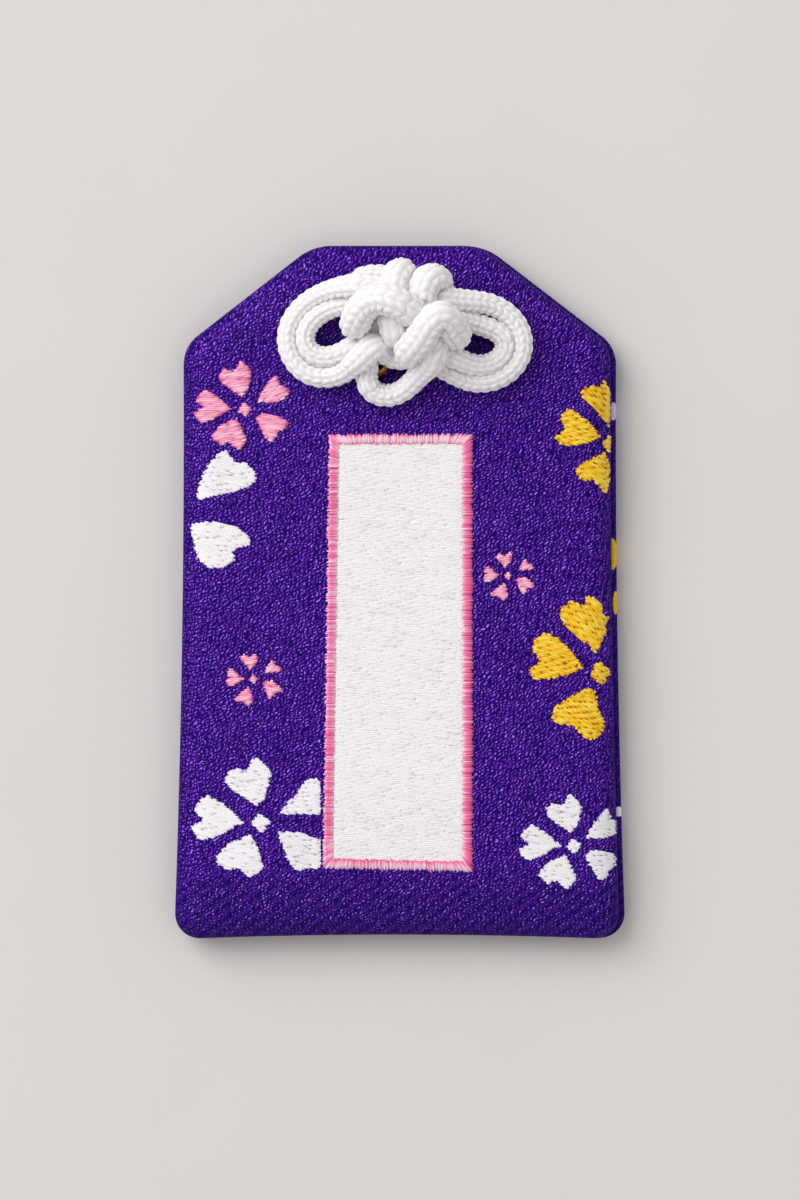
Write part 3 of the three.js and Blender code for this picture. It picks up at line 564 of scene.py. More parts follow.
def smooth_line(points, steps=24):
    """Catmull-Rom curve through points: a cubic between each pair, led by the points before and after."""
    led = np.vstack([2 * points[0] - points[1], points, 2 * points[-1] - points[-2]])
    before, here, there, after = led[:-3, None], led[1:-2, None], led[2:-1, None], led[3:, None]
    t = np.linspace(0, 1, steps, endpoint=False)[None, :, None]
    curve = 0.5 * (2 * here + (there - before) * t + (2 * before - 5 * here + 4 * there - after) * t ** 2
                   + (3 * here - before - 3 * there + after) * t ** 3)
    return np.vstack([curve.reshape(-1, 3), points[-1:]])


def lengths_along(line):
    """Length of the line from its start to each of its points."""
    return np.concatenate([[0], np.cumsum(np.linalg.norm(np.diff(line, axis=0), axis=1))])


def evenly(line, count, values=None):
    """The line, or values that go with it, at even steps of length."""
    along = lengths_along(line)
    values = line if values is None else values
    steps = np.linspace(0, along[-1], count)
    return np.stack([np.interp(steps, along, values[:, axis]) for axis in range(3)], axis=1)


def cord_floor(points):
    """Lowest level of the cord's centre line over the pouch and its eyelet flanges."""
    x, y = points[:, 0], points[:, 1]
    on_flange = np.hypot(np.abs(x) - EYELET_X, y - EYELET_Y) < (FLANGE_DIAMETER + CORD_DIAMETER) / 2
    under = np.maximum(front_height(inset_at(x, y)), np.where(on_flange, FLANGE_TOP, 0))
    return under + CORD_DIAMETER / 2 + SOFT_REST


def swollen(points):
    """Diameter of the knot's cord, which grows smoothly towards the middle and with height."""
    central = eased((MIDDLE_HALF - np.abs(points[:, 0])) / SWELL_OVER)
    lifted = eased((points[:, 2] - FLANGE_TOP - LIFT_START) / SWELL_OVER)
    return EAR_DIAMETER + MIDDLE_SWELL * central + LIFTED_SWELL * lifted


def settle(route, step=0.7, pressed=0.72, rounds=500):
    """Cord at even steps, eased straighter, held to its route, and pushed apart to a share of its thickness.

    In the last fifth of the rounds it is held no more, so that only the pushing is left.
    """
    line = smooth_line(route)
    count = round(lengths_along(line)[-1] / step) + 1
    home = evenly(line, count)
    first, second = np.triu_indices(count, k=math.ceil(OWN_REACH / step))
    cord = home.copy()
    for turn in range(rounds):
        straighten, hold = FIRST_EASE if turn < 0.8 * rounds else LAST_EASE
        moved = cord + hold * (home - cord)
        moved[1:-1] += straighten * ((cord[:-2] + cord[2:]) / 2 - cord[1:-1])
        apart = moved[second] - moved[first]
        gap = np.linalg.norm(apart, axis=1)
        thick = swollen(moved)
        spacing = pressed * (thick[first] + thick[second]) / 2
        close = gap < spacing
        push = apart[close] * (PUSH * (spacing[close] / gap[close] - 1))[:, None]
        np.add.at(moved, first[close], -push)
        np.add.at(moved, second[close], push)
        moved[:, 2] = np.maximum(moved[:, 2], cord_floor(moved))
        moved[:3], moved[-3:] = home[:3], home[-3:]
        cord = moved
    return cord


knot_line = settle(KNOT_ROUTE)

# %% [markdown]
# Ten columns of slanted stitches, leaning by turns left and right, make the plaited surface of the cord. The
# relief is real geometry: each ring of the tube is pushed in and out by it.

# %% Braided cord
COLUMN_POINTS = 5
RUNG_LEAN, COLUMN_SINK = 0.62, 0.75


def directions(line):
    """Unit vectors along a line, at its own points."""
    return unit(np.gradient(line, axis=0))


def carried_frames(line):
    """Directions square to a line, carried along it without twist, at its own points."""
    ahead = directions(line)
    side = np.cross(ahead, (0.3, 0.8, 0.52))
    for index in range(1, len(line)):
        side[index] = unit(side[index - 1] - ahead[index] * (ahead[index] @ side[index - 1]))
    return side


def plait(along, around, columns, pitch):
    """Relief of a braid from 0 to 1: rungs that lean by turns left and right, sunk between columns."""
    column = around * columns / (2 * np.pi)
    across = column % 1 - 0.5
    lean = np.where(np.floor(column) % 2 > 0, 1.0, -1.0)
    rung = 2 * ((along / pitch + RUNG_LEAN * lean * across) % 1) - 1
    return np.sqrt(np.clip(1 - rung ** 2, 0, 1)) * (1 - COLUMN_SINK * np.abs(2 * across) ** 2.5)


def braided(name, line, diameter, material, columns=10, pitch=0.92, relief=0.28, step=0.115):
    """Tube along a line: every ring a circle square to it, its radius raised by the plait."""
    curve = smooth_line(line, 12)
    sides = smooth_line(carried_frames(line), 12)
    length = lengths_along(curve)[-1]
    count = max(12, round(length / step))
    centre = evenly(curve, count)
    ahead = directions(centre)
    side = evenly(curve, count, sides)
    side = unit(side - ahead * (ahead * side).sum(axis=1, keepdims=True))
    other = np.cross(ahead, side)
    around = np.linspace(0, 2 * np.pi, columns * COLUMN_POINTS, endpoint=False)
    thickness = np.broadcast_to(diameter(centre) if callable(diameter) else diameter, count)[:, None]
    along = np.linspace(0, length, count)[:, None]
    uneven = along + 0.12 * np.sin(along / 3.1) + 0.07 * np.sin(along / 1.27 + 2)
    raised = plait(uneven, around[None], columns, pitch)
    ends = np.minimum(np.minimum(along, length - along) / 0.3, 1) ** 0.5
    radius = (thickness / 2 - relief * (1 - raised)) * np.maximum(ends, 0.02)
    cosine, sine = np.cos(around)[:, None], np.sin(around)[:, None]
    spread = side[:, None] * cosine + other[:, None] * sine
    points = (centre[:, None] + spread * radius[..., None]).reshape(-1, 3)
    # tone: painted shade, darker where the plait sinks between rungs and columns, on top of the real relief
    marks = {
        "tone": 0.05 + 0.75 * raised,
        "along": np.broadcast_to(along, raised.shape),
        "across": np.broadcast_to(around * columns, raised.shape),
    }
    return add_mesh(name, points, grid_faces(count, len(around), closed=True), material, marks), centre


knot, knot_path = braided("knot_braid", knot_line, swollen, cord_silk)
dress(knot, "knot", "white_cord", "knot_cord")

# %% [markdown]
# ## Brocade panels
# The pad inside presses the cloth up against its seam. A short cloth simulation shows how the cloth takes
# this up: a sheet with a little slack is held along the seam and blown up gently. The rise and fall that it
# ends with is kept as a relief, capped so that the cloth stays where its solid is.

# %% Cloth blown up against its seam
SHEET_X = np.linspace(-25, 25, 72)
SHEET_Y = np.linspace(-38, 38, 108)
TRIAL_SCALE = 100.0
TRIAL_FRAMES = 20
SEAM_WIDTH = 1.0
MOST_RISE = 0.3


def blown_up():
    """Heights that the sheet gains in some frames of pressure without weight, in millimetres."""
    y, x = np.meshgrid(SHEET_Y, SHEET_X, indexing="ij")
    inset = inset_at(x, y)
    start = np.stack([x, y, front_height(inset)], axis=-1).reshape(-1, 3)
    sheet = add_mesh("cloth_trial", start * TRIAL_SCALE, grid_faces(*x.shape), brocade)
    seam = sheet.vertex_groups.new(name="seam")
    seam.add(np.flatnonzero(inset.ravel() < SEAM_WIDTH).tolist(), 1.0, "REPLACE")
    cloth = sheet.modifiers.new("cloth", "CLOTH")
    cloth.settings.vertex_group_mass = "seam"
    cloth.settings.use_pressure = True
    cloth.settings.uniform_pressure_force = 4.0
    cloth.settings.shrink_min = -0.03
    cloth.settings.bending_stiffness = 0.6
    cloth.settings.effector_weights.gravity = 0
    cloth.collision_settings.use_collision = False
    for frame_number in range(1, TRIAL_FRAMES + 1):
        scene.frame_set(frame_number)
    settled = sheet.evaluated_get(bpy.context.evaluated_depsgraph_get()).to_mesh()
    moved = np.empty(start.size, np.float32)
    settled.vertices.foreach_get("co", moved)
    rise = moved.reshape(-1, 3)[:, 2] / (TRIAL_SCALE * MM) - start[:, 2]
    bpy.data.objects.remove(sheet)
    scene.frame_set(1)
    print("cloth rose from", rise.min().round(2), "to", rise.max().round(2), "mm")
    return rise.reshape(x.shape)


RELIEF = np.zeros((len(SHEET_Y), len(SHEET_X)))
RELIEF = np.clip(blown_up(), -MOST_RISE, MOST_RISE)


def relief_at(x, y):
    """Relief between the points of the sheet: smooth steps from one to the next, both ways."""
    column = np.clip((x - SHEET_X[0]) / (SHEET_X[1] - SHEET_X[0]), 0, len(SHEET_X) - 1.001)
    row = np.clip((y - SHEET_Y[0]) / (SHEET_Y[1] - SHEET_Y[0]), 0, len(SHEET_Y) - 1.001)
    left, low = np.floor(column).astype(int), np.floor(row).astype(int)
    right_share, high_share = eased(column - left), eased(row - low)
    lower = RELIEF[low, left] * (1 - right_share) + RELIEF[low, left + 1] * right_share
    upper = RELIEF[low + 1, left] * (1 - right_share) + RELIEF[low + 1, left + 1] * right_share
    return lower * (1 - high_share) + upper * high_share


def ground(x, y):
    """Height of the front cloth at a place seen from above."""
    inset = inset_at((x + BACK_LIP / 2) / (1 - BACK_LIP / (2 * BASE_HALF_WIDTH)), y)
    return front_height(inset) + relief_at(x, y)


# %% [markdown]
# The front is one piece of cloth, drawn over the pad and turned under at its edge. It is a closed shell:
# rings run from the crown out to the rolled edge, turn in towards the seam, and go back under as the inner
# face. The back is made in the same way, but lies flat.

# %% Front and back panels
RIM = 0.6
FRONT_TUCK, BACK_TUCK = 0.4, 0.38


def shell(name, rings, material, relief=None):
    """Closed surface through rings, whose first and last are drawn together into a slit along the middle."""
    rings = rings.copy()
    middle = rings[:, :, 0].mean(axis=1)
    for last in (0, -1):
        rings[last, :, 0] = middle[last]
    if relief is not None:
        rings[..., 2] += relief(rings[..., 0], rings[..., 1])
    rows, columns = rings.shape[:2]
    return add_mesh(name, rings.reshape(-1, 3), grid_faces(rows, columns, closed=True), material, weld=True)


def at_heights(insets, heights):
    """Rings of x, y and z from an inset and a height each."""
    flat = outline(insets)
    return np.concatenate([flat, np.broadcast_to(heights[:, None, None], flat.shape[:2] + (1,))], axis=2)


def front_rings():
    """Outer face, turned rim and inner face of the front panel."""
    crown = np.linspace(MIDDLE_INSET, FRONT_ROLL[0], 46)
    roll = FRONT_ROLL[0] * (1 - np.cos(np.linspace(np.pi / 2, 0, 28)[1:]))
    outer_inset = np.concatenate([crown, roll])
    outer = at_heights(outer_inset, front_height(outer_inset))
    turn = np.linspace(0, np.pi / 2, 7)[1:]
    rim = at_heights(RIM * (1 - np.cos(turn)), FRONT_SEAM_Z - FRONT_TUCK * np.sin(turn))
    inner_inset = np.concatenate([[0.9, 1.3, 2.2, 3.4], np.linspace(5, MIDDLE_INSET, 6)])
    under = np.maximum(front_height(np.maximum(inner_inset - CLOTH, 0.05)) - CLOTH, FRONT_SEAM_Z - 0.3)
    rings = np.concatenate([outer, rim, at_heights(inner_inset, under)])
    rings[..., 0] = front_x(rings[..., 0])
    return rings


def back_rings():
    """Outer face, turned rim and inner face of the back panel, which lies flat on its back."""
    width, height = BACK_ROLL
    flat = np.linspace(MIDDLE_INSET, width, 12)
    turn = np.linspace(np.pi / 2, 0, 16)[1:]
    outer = at_heights(np.concatenate([flat, width * (1 - np.cos(turn))]),
                       np.concatenate([0 * flat, height * (1 - np.sin(turn))]))
    fold = np.linspace(0, np.pi / 2, 7)[1:]
    rim = at_heights(RIM * (1 - np.cos(fold)), height + BACK_TUCK * np.sin(fold))
    inner_inset = np.array([0.9, 1.3, 2.0, 3.0, 8.0, 15.0, MIDDLE_INSET])
    inner = at_heights(inner_inset, np.array([1.95, 1.35, 0.8, CLOTH, CLOTH, CLOTH, CLOTH]))
    return np.concatenate([outer, rim, inner])


front = shell("front_brocade", front_rings(), brocade, relief_at)
back = shell("back_brocade", back_rings(), lip_brocade)
for panel, node in ((front, "front_panel"), (back, "back_panel")):
    dress(panel, "pouch", "purple_brocade", node)

# %% [markdown]
# ## Embroidery
# A machine fills a shape with rows of thread, and breaks each row into stitches that start at different
# places in neighbouring rows. So each row is cut by the outline, then cut again into stitches, and each
# stitch is a small arched strip that dips into the cloth at both ends.

# %% Stitches
ALONG_STITCH = np.array([0, 0.05, 0.16, 0.36, 0.64, 0.84, 0.95, 1.0])
ACROSS_STITCH = np.array([-1, -0.62, 0, 0.62, 1.0])
ANYWHERE = (-99, 99)
ROW_OFFSET = 0.37
LEAST_STITCH = 0.12
SHALLOW_DIP = 0.08
SUNK = 0.08
OVERLAP = 1.42
MIDDLE_TONE = 0.55


def hump(middle, width):
    """Bell curve along a stitch: e to the power of minus the squared distance from its middle, in widths."""
    return np.exp(-((ALONG_STITCH - middle) / width) ** 2)


def rows_inside(shape, degrees, pitch):
    """Ends of the straight rows that fill an outline: each row's crossings with its edges, taken in pairs."""
    turn = math.radians(degrees)
    axes = np.array([(math.cos(turn), math.sin(turn)), (-math.sin(turn), math.cos(turn))])
    along, level = axes @ shape.T
    along_next, level_next = np.roll(along, -1), np.roll(level, -1)
    rows = np.arange(level.min() + 0.4 * pitch, level.max(), pitch)[:, None]
    crosses = (level <= rows) != (level_next <= rows)
    share = (rows - level) / np.where(crosses, level_next - level, 1)
    hits = np.sort(np.where(crosses, along + share * (along_next - along), np.inf), axis=1)
    hits = hits[:, :4].reshape(-1, 2, 2)
    kept = np.isfinite(hits[..., 1])
    number = np.broadcast_to(np.arange(len(rows))[:, None], kept.shape)[kept]
    return hits[kept][:, 0], hits[kept][:, 1], number, rows[number, 0], axes


def broken(start, end, number, length, holes, depth, chance):
    """Rows cut into stitches of one length, each row set off from the one before by about a third.

    The end of a row dips right down to the cloth. Within a row only a share of ends, holes, dips, by depth.
    """
    offset = (number * ROW_OFFSET + chance.uniform(-0.2, 0.2, len(number))) % 1
    count = np.arange(math.floor(start.min() / length) - 1, math.ceil(end.max() / length) + 1)
    low = np.maximum(start[:, None], (count + offset[:, None]) * length)
    high = np.minimum(end[:, None], (count + 1 + offset[:, None]) * length)
    row, kept = np.nonzero(high - low > LEAST_STITCH)
    sunk = np.where(chance.random((len(start), len(count) + 1)) < holes, depth, SHALLOW_DIP)
    dips = np.stack([np.where(low == start[:, None], 1.0, sunk[:, :-1]),
                     np.where(high == end[:, None], 1.0, sunk[:, 1:])], axis=-1)
    return low[row, kept], high[row, kept], row, dips[row, kept]


def strips(start, end, width, height, tones, dips=1.0, painted_light=0.0, groove_shade=0.1, dip_shade=0.6):
    """Arched strips: half round across, and falling by a dip at each end as the cube of the distance."""
    span = end - start
    length = np.linalg.norm(span, axis=1)
    square = unit(np.stack([-span[:, 1], span[:, 0]], axis=1))
    dips = np.broadcast_to(dips, (len(start), 2))
    falls = np.clip(np.stack([1 - 2 * ALONG_STITCH, 2 * ALONG_STITCH - 1]), 0, 1) ** 3
    rise = 1 - dips @ falls
    middle = start[:, None] + ALONG_STITCH[None, :, None] * span[:, None]
    half = 0.5 * width * (0.6 + 0.4 * rise)[..., None] * ACROSS_STITCH
    flat = middle[:, :, None] + half[..., None] * square[:, None, None]
    arch = np.sqrt(1 - 0.97 * ACROSS_STITCH ** 2)
    z = ground(flat[..., 0], flat[..., 1]) + height * (0.12 + 0.88 * rise[..., None]) * arch - SUNK
    points = np.concatenate([flat, z[..., None]], axis=-1)
    each = len(ALONG_STITCH) * len(ACROSS_STITCH)
    faces = grid_faces(len(ALONG_STITCH), len(ACROSS_STITCH))[:, ::-1]
    faces = (faces[None] + each * np.arange(len(start))[:, None, None]).reshape(-1, 4)
    # tone of each point: the stitch's random tone, with painted shade where it dips into the cloth and in the
    # grooves along its edges, plus the painted highlight, sheen or shade passed in
    shade = (tones[:, None] + dip_shade * (rise - 1) + painted_light)[..., None] - groove_shade * ACROSS_STITCH ** 2
    marks = {
        "tone": np.clip(shade, 0, 1),
        "along": ALONG_STITCH[None, :, None] * length[:, None, None] + 0 * shade,
        "across": 0 * shade + ACROSS_STITCH,
    }
    return points.reshape(-1, 3), faces, marks


def join(parts):
    """One set of points, faces and marks from several."""
    starts = np.cumsum([0] + [len(points) for points, _, _ in parts[:-1]])
    marks = {name: np.concatenate([part[2][name].ravel() for part in parts]) for name in parts[0][2]}
    faces = np.concatenate([faces + first for (_, faces, _), first in zip(parts, starts)])
    return np.concatenate([points for points, _, _ in parts]), faces, marks


def filled(shape, degrees, chance, pitch=0.2, length=1.7, limits=ANYWHERE, jag=0.1, spread=0.16,
           height=0.34, holes=0.3, depth=0.6, groove_shade=0.1, shine=0.0):
    """Stitches that fill an outline in rows at an angle, with jagged ends, between two limits of x."""
    start, end, number, level, axes = rows_inside(shape, degrees, pitch)
    start = start - chance.uniform(-0.4, 1, len(start)) * jag
    end = end + chance.uniform(-0.4, 1, len(end)) * jag
    low, high, row, dips = broken(start, end, number, length, holes, depth, chance)
    level = level[row] + chance.normal(0, 0.012, len(row))
    first = low[:, None] * axes[0] + level[:, None] * axes[1]
    last = high[:, None] * axes[0] + level[:, None] * axes[1]
    lean = axes[0, 1] / axes[0, 0]
    for ends in (first, last):
        held = np.clip(ends[:, 0], *limits)
        ends[:, 1] += (held - ends[:, 0]) * lean
        ends[:, 0] = held
    kept = np.linalg.norm(last - first, axis=1) > 0.1
    tones = np.clip(chance.normal(MIDDLE_TONE, spread, kept.sum()), 0.05, 1)
    # painted highlight along the middle of each stitch
    stitch_highlight = shine * hump(0.5, 0.22)
    return strips(first[kept], last[kept], OVERLAP * pitch, height, tones, dips[kept], stitch_highlight, groove_shade)


# %% [markdown]
# ## Cherry blossoms
# Each blossom has five heart-shaped petals round a small heart, but some run off the edge of the cloth, as
# brocade is cut from a larger piece. No petal is even: one lobe is pointed and the other round. The outlines
# are drawn as shares of the blossom's reach from its middle, and some blossoms have their own.

# %% Outlines of the petals
TOP = [(-.07, .27), (.03, .36), (.11, .55), (.15, .75), (.10, .88), (.0, .97), (-.09, 1.03), (-.16, .93),
       (-.25, .81), (-.37, .84), (-.48, .82), (-.56, .71), (-.54, .61), (-.38, .47), (-.2, .35)]
LEFT = [(-.26, .0), (-.42, .14), (-.58, .28), (-.72, .36), (-.85, .42), (-.96, .33), (-1.06, .21),
        (-.99, .12), (-.91, .05), (-1.0, -.02), (-1.1, -.06), (-1.04, -.18), (-.95, -.26), (-.78, -.25),
        (-.6, -.17), (-.42, -.06)]
LOWER_LEFT = [(-.16, -.19), (-.3, -.24), (-.48, -.32), (-.6, -.42), (-.71, -.58), (-.62, -.68),
              (-.5, -.75), (-.37, -.70), (-.27, -.78), (-.15, -.85), (-.03, -.78), (.04, -.67), (.0, -.53),
              (-.06, -.38)]
LOWER_RIGHT = [(.22, -.18), (.35, -.10), (.5, -.09), (.7, -.14), (.86, -.22), (.94, -.31), (.86, -.42),
               (.73, -.47), (.68, -.58), (.58, -.68), (.44, -.61), (.36, -.47), (.28, -.33)]
UPPER_RIGHT = [(.26, .15), (.33, .33), (.42, .47), (.53, .60), (.66, .72), (.72, .64), (.75, .53),
               (.86, .49), (.95, .43), (.92, .31), (.74, .18), (.56, .14), (.40, .15)]
WHOLE = [TOP, UPPER_RIGHT, LOWER_RIGHT, LOWER_LEFT, LEFT]
BESIDE_LABEL = [
    TOP,
    [(.29, .16), (.41, .31), (.52, .43), (.63, .56), (.73, .68), (.82, .69), (.92, .66), (.95, .5),
     (.96, .3), (.96, .14), (.81, .13), (.66, .14), (.45, .13)],
    [(.25, -.13), (.41, -.14), (.59, -.155), (.8, -.22), (.96, -.28), (.965, -.42), (.955, -.56),
     (.95, -.69), (.84, -.71), (.73, -.72), (.59, -.74), (.48, -.69), (.41, -.58), (.36, -.42),
     (.30, -.28)],
    LOWER_LEFT,
    LEFT,
]
SMALL = [
    [(-.13, .32), (-.32, .54), (-.44, .70), (-.37, .82), (-.26, .83), (-.14, .76), (-.02, .85), (.08, .88),
     (.15, .76), (.14, .60), (.02, .45)],
    [(.38, .20), (.45, .38), (.56, .55), (.65, .66), (.71, .60), (.74, .51), (.87, .46), (.98, .39),
     (.92, .30), (.80, .25), (.58, .22)],
    [(.28, -.13), (.46, -.07), (.68, -.08), (.88, -.23), (1.02, -.39), (.92, -.45), (.77, -.45),
     (.70, -.57), (.57, -.67), (.48, -.58), (.40, -.39)],
    [(-.16, -.27), (-.34, -.40), (-.52, -.54), (-.66, -.69), (-.56, -.78), (-.43, -.76), (-.32, -.84),
     (-.21, -.91), (-.08, -.86), (-.01, -.74), (-.04, -.55), (-.09, -.37)],
    [(-.33, .01), (-.50, .16), (-.66, .30), (-.82, .33), (-.93, .21), (-.82, .07), (-.91, -.01),
     (-.98, -.11), (-.86, -.20), (-.69, -.21), (-.50, -.11)],
]
EDGE_WHITE = [
    [(.15, .235), (.21, .40), (.295, .60), (.42, .76), (.55, .825), (.62, .76), (.675, .66), (.80, .66),
     (.89, .60), (.97, .45), (.855, .345), (.64, .26), (.37, .215), (.21, .17)],
    [(.07, -.2), (.15, -.145), (.4, -.14), (.64, -.18), (.79, -.27), (.9, -.40), (.8, -.47), (.66, -.51),
     (.67, -.61), (.59, -.72), (.37, -.76), (.25, -.7), (.165, -.59), (.105, -.36)],
]
UPPER_YELLOW = [
    [(-.02, .30), (.03, .5), (.045, .7), (.03, .89), (-.04, 1.03), (-.11, 1.13), (-.175, 1.02),
     (-.32, 1.03), (-.45, .99), (-.53, .905), (-.42, .77), (-.25, .59), (-.1, .415)],
    [(-.18, .13), (-.275, .265), (-.42, .415), (-.625, .555), (-.76, .62), (-.9, .465), (-.785, .265),
     (-.9, .19), (-.975, .10), (-.85, -.01), (-.625, -.02), (-.42, .015), (-.3, .07)],
    [(-.11, -.15), (-.275, -.235), (-.475, -.335), (-.625, -.485), (-.56, -.59), (-.475, -.65),
     (-.3, -.65), (-.2, -.76), (-.085, -.855), (-.02, -.71), (0, -.485), (-.035, -.31)],
]
RIGHT_YELLOW = [
    [(-.065, .28), (.05, .49), (.105, .775), (.05, .78), (.02, .93), (-.165, 1.07), (-.24, .94),
     (-.40, .99), (-.57, .865), (-.525, .70), (-.34, .52), (-.19, .40)],
    [(-.24, .065), (-.37, .25), (-.525, .415), (-.765, .55), (-.96, .37), (-.84, .175), (-1.0, .025),
     (-.9, -.08), (-.645, -.065), (-.435, -.005)],
    [(-.15, -.2), (-.40, -.32), (-.66, -.52), (-.63, -.685), (-.375, -.74), (-.255, -.865), (-.1, -.93),
     (.035, -.82), (.05, -.685), (-.04, -.475), (-.085, -.26)],
]


# %% [markdown]
# The blossoms differ in place, reach, silk and outlines, so a table lists these. Each silk has its own way of
# stitching: pink in long threads with a painted shine, white in short flat ones, and yellow in coarse ones
# with a stronger painted shine and painted shade between the threads.

# %% Blossoms
# name, x, y, reach, outlines of the petals, silk, limits of x
BLOSSOMS = [
    ("upper_left_pink", -16.74, 19.71, 5.08, WHOLE, "pink_silk", ANYWHERE),
    ("left_edge_white", -23.22, 8.64, 8.0, EDGE_WHITE, "white_silk", ANYWHERE),
    ("lower_left_pink", -15.82, -9.4, 3.13, SMALL, "pink_silk", ANYWHERE),
    ("lower_left_white", -15.0, -24.9, 6.9, BESIDE_LABEL, "white_silk", (-99, -8.5)),
    ("upper_right_yellow", 22.72, 15.98, 6.05, UPPER_YELLOW, "yellow_silk", (-99, 22.85)),
    ("right_yellow", 21.66, -8.75, 7.78, RIGHT_YELLOW, "yellow_silk", (-99, 23.2)),
    ("middle_right_pink", 11.66, 1.73, 2.85, SMALL, "pink_silk", ANYWHERE),
    ("lower_right_white", 18.79, -27.4, 5.4, WHOLE, "white_silk", (-99, 23.5)),
]
SILKS = {"pink_silk": pink_silk, "white_silk": white_silk, "yellow_silk": yellow_silk}
FIRST_SEED = 20
# directions of the stitches, petal by petal
ROWS = {"pink_silk": (8, 26, -12, 10, 2), "white_silk": (-14,) * 5, "yellow_silk": (-42, -12, -24)}
# shine paints a highlight along each stitch, and the groove setting paints shade between the threads
STITCHES = {
    "pink_silk": {"length": 3.0, "spread": 0.17, "holes": 0.15, "groove_shade": 0.25, "shine": 0.25},
    "white_silk": {"length": 1.6, "spread": 0.06, "height": 0.22, "holes": 0.5, "jag": 0.2},
    "yellow_silk": {"length": 1.4, "spread": 0.13, "holes": 0.5, "jag": 0.24, "groove_shade": 0.35, "shine": 0.4,
                    "pitch": 0.23},
}


def petal(shares, reach, x, y):
    """Outline through a petal's points, smoothed along a curve and closed at the point next to the heart."""
    closed = np.array([*shares, shares[0]])
    return smooth_line(np.c_[closed, 0 * closed[:, 0]], 6)[:-1, :2] * reach + (x, y)


def heart(reach, x, y):
    """Small four-pointed spot at the middle of a blossom."""
    angle = np.linspace(0, 2 * np.pi, 60, endpoint=False)
    radius = reach * (0.125 + 0.018 * np.cos(4 * angle - 0.6))
    return np.stack([x + radius * np.cos(angle), y + radius * np.sin(angle)], axis=1)


for seed, (name, x, y, reach, outlines, silk, limits) in enumerate(BLOSSOMS, FIRST_SEED):
    chance = np.random.default_rng(seed)
    shapes = [petal(shares, reach, x, y) for shares in outlines]
    nodes = [f"{name}_petal_{number + 1}" for number in range(len(shapes))]
    if f"{name}_heart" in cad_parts:
        shapes.append(heart(reach, x, y))
        nodes.append(f"{name}_heart")
    degrees = [*ROWS[silk][:len(outlines)], ROWS[silk][-1]]
    parts = [filled(shape, lean, chance, limits=limits, **STITCHES[silk])
             for shape, lean in zip(shapes, degrees)]
    points, faces, marks = join(parts)
    blossom = add_mesh(f"{name}_stitches", points, faces, SILKS[silk], marks)
    dress(blossom, "pouch", silk, *nodes)

# %% [markdown]
# ## Label
# The label is a white field in a rose border. The field is filled in even rows, and the border is satin
# stitch: threads laid square to the edge, leaning at the corners so that they meet on the diagonal. Each side
# of the border has its own band of painted sheen and painted shade along its threads, as light falls on it.

# %% Label field and border
LABEL = np.array([(-8.33, -29.81), (7.87, -30.18), (7.82, 17.05), (-7.68, 16.99)])
BORDER = 1.12
FAN = 3 * BORDER
LABEL_SEED = 5
THREAD_STEP, THREAD_WIDTH, THREAD_HEIGHT = 0.16, 0.25, 0.45
# painted sheen and painted shade along the threads of each side, bottom, right, top and left, from inner to
# outer end
SHEEN_BANDS = [
    1.0 - 0.55 * hump(0, 0.4),
    0.52 + 0.45 * hump(0, 0.25),
    1.0 - 0.7 * hump(0, 0.14) - 0.3 * hump(1, 0.25),
    1.0 - 0.5 * hump(0.55, 0.28),
]


def drawn_in(corners, inset):
    """Four-sided outline drawn in by an inset along its corners' diagonals."""
    middle = corners.mean(axis=0)
    return corners - np.sign(corners - middle) * inset


chance = np.random.default_rng(LABEL_SEED)
field, field_faces, field_marks = filled(
    drawn_in(LABEL, BORDER - 0.15), -5, chance, length=1.3, jag=0.0, spread=0.06, height=0.22, holes=0.4,
    depth=0.35)
label = add_mesh("label_field", field, field_faces, label_silk, field_marks)
dress(label, "pouch", "white_silk", "label_ground")

inner = drawn_in(LABEL, BORDER)
sides = []
for side, sheen_band in enumerate(SHEEN_BANDS):
    outer_from, outer_to = LABEL[side], LABEL[(side + 1) % 4]
    inner_from, inner_to = inner[side], inner[(side + 1) % 4]
    length = np.linalg.norm(outer_to - outer_from)
    count = round(length / THREAD_STEP)
    place = (np.arange(count) + 0.5 + chance.uniform(-0.25, 0.25, count)) * length / count
    lean = np.clip(1 - place / FAN, 0, 1) - np.clip(1 - (length - place) / FAN, 0, 1)
    inner_share = (place + BORDER * (lean - 1)) / (length - 2 * BORDER)
    out = outer_from + (place / length)[:, None] * (outer_to - outer_from)
    into = inner_from + inner_share[:, None] * (inner_to - inner_from)
    away = unit(out - into)
    out = out + away * chance.uniform(-0.16, 0.12, (count, 1))
    into = into - away * chance.uniform(-0.05, 0.16, (count, 1))
    tones = chance.normal(0.0, 0.12, count)
    sides.append(strips(into, out, THREAD_WIDTH, THREAD_HEIGHT, tones, painted_light=sheen_band, groove_shade=0.3, dip_shade=0.1))
satin, satin_faces, satin_marks = join(sides)
edging = add_mesh("label_edging", satin, satin_faces, rose_silk, satin_marks)
dress(edging, "pouch", "rose_silk", "label_border")

# %% [markdown]
# ## Inside the pouch
# The cord's ends go down through the eyelets and are whipped together by a thread wound round both. None of
# this shows, but it is there to be taken apart. A tail stretches when the knot lifts.

# %% Tails and whipping
TAIL_DIAMETER = 2.1
TAIL_BEND = 1.7
TAIL_LEVEL = 2.25
WINDINGS, WINDING_POINTS = 9, 220
WINDING_RADIUS, WINDING_HALF = 1.3, 1.4


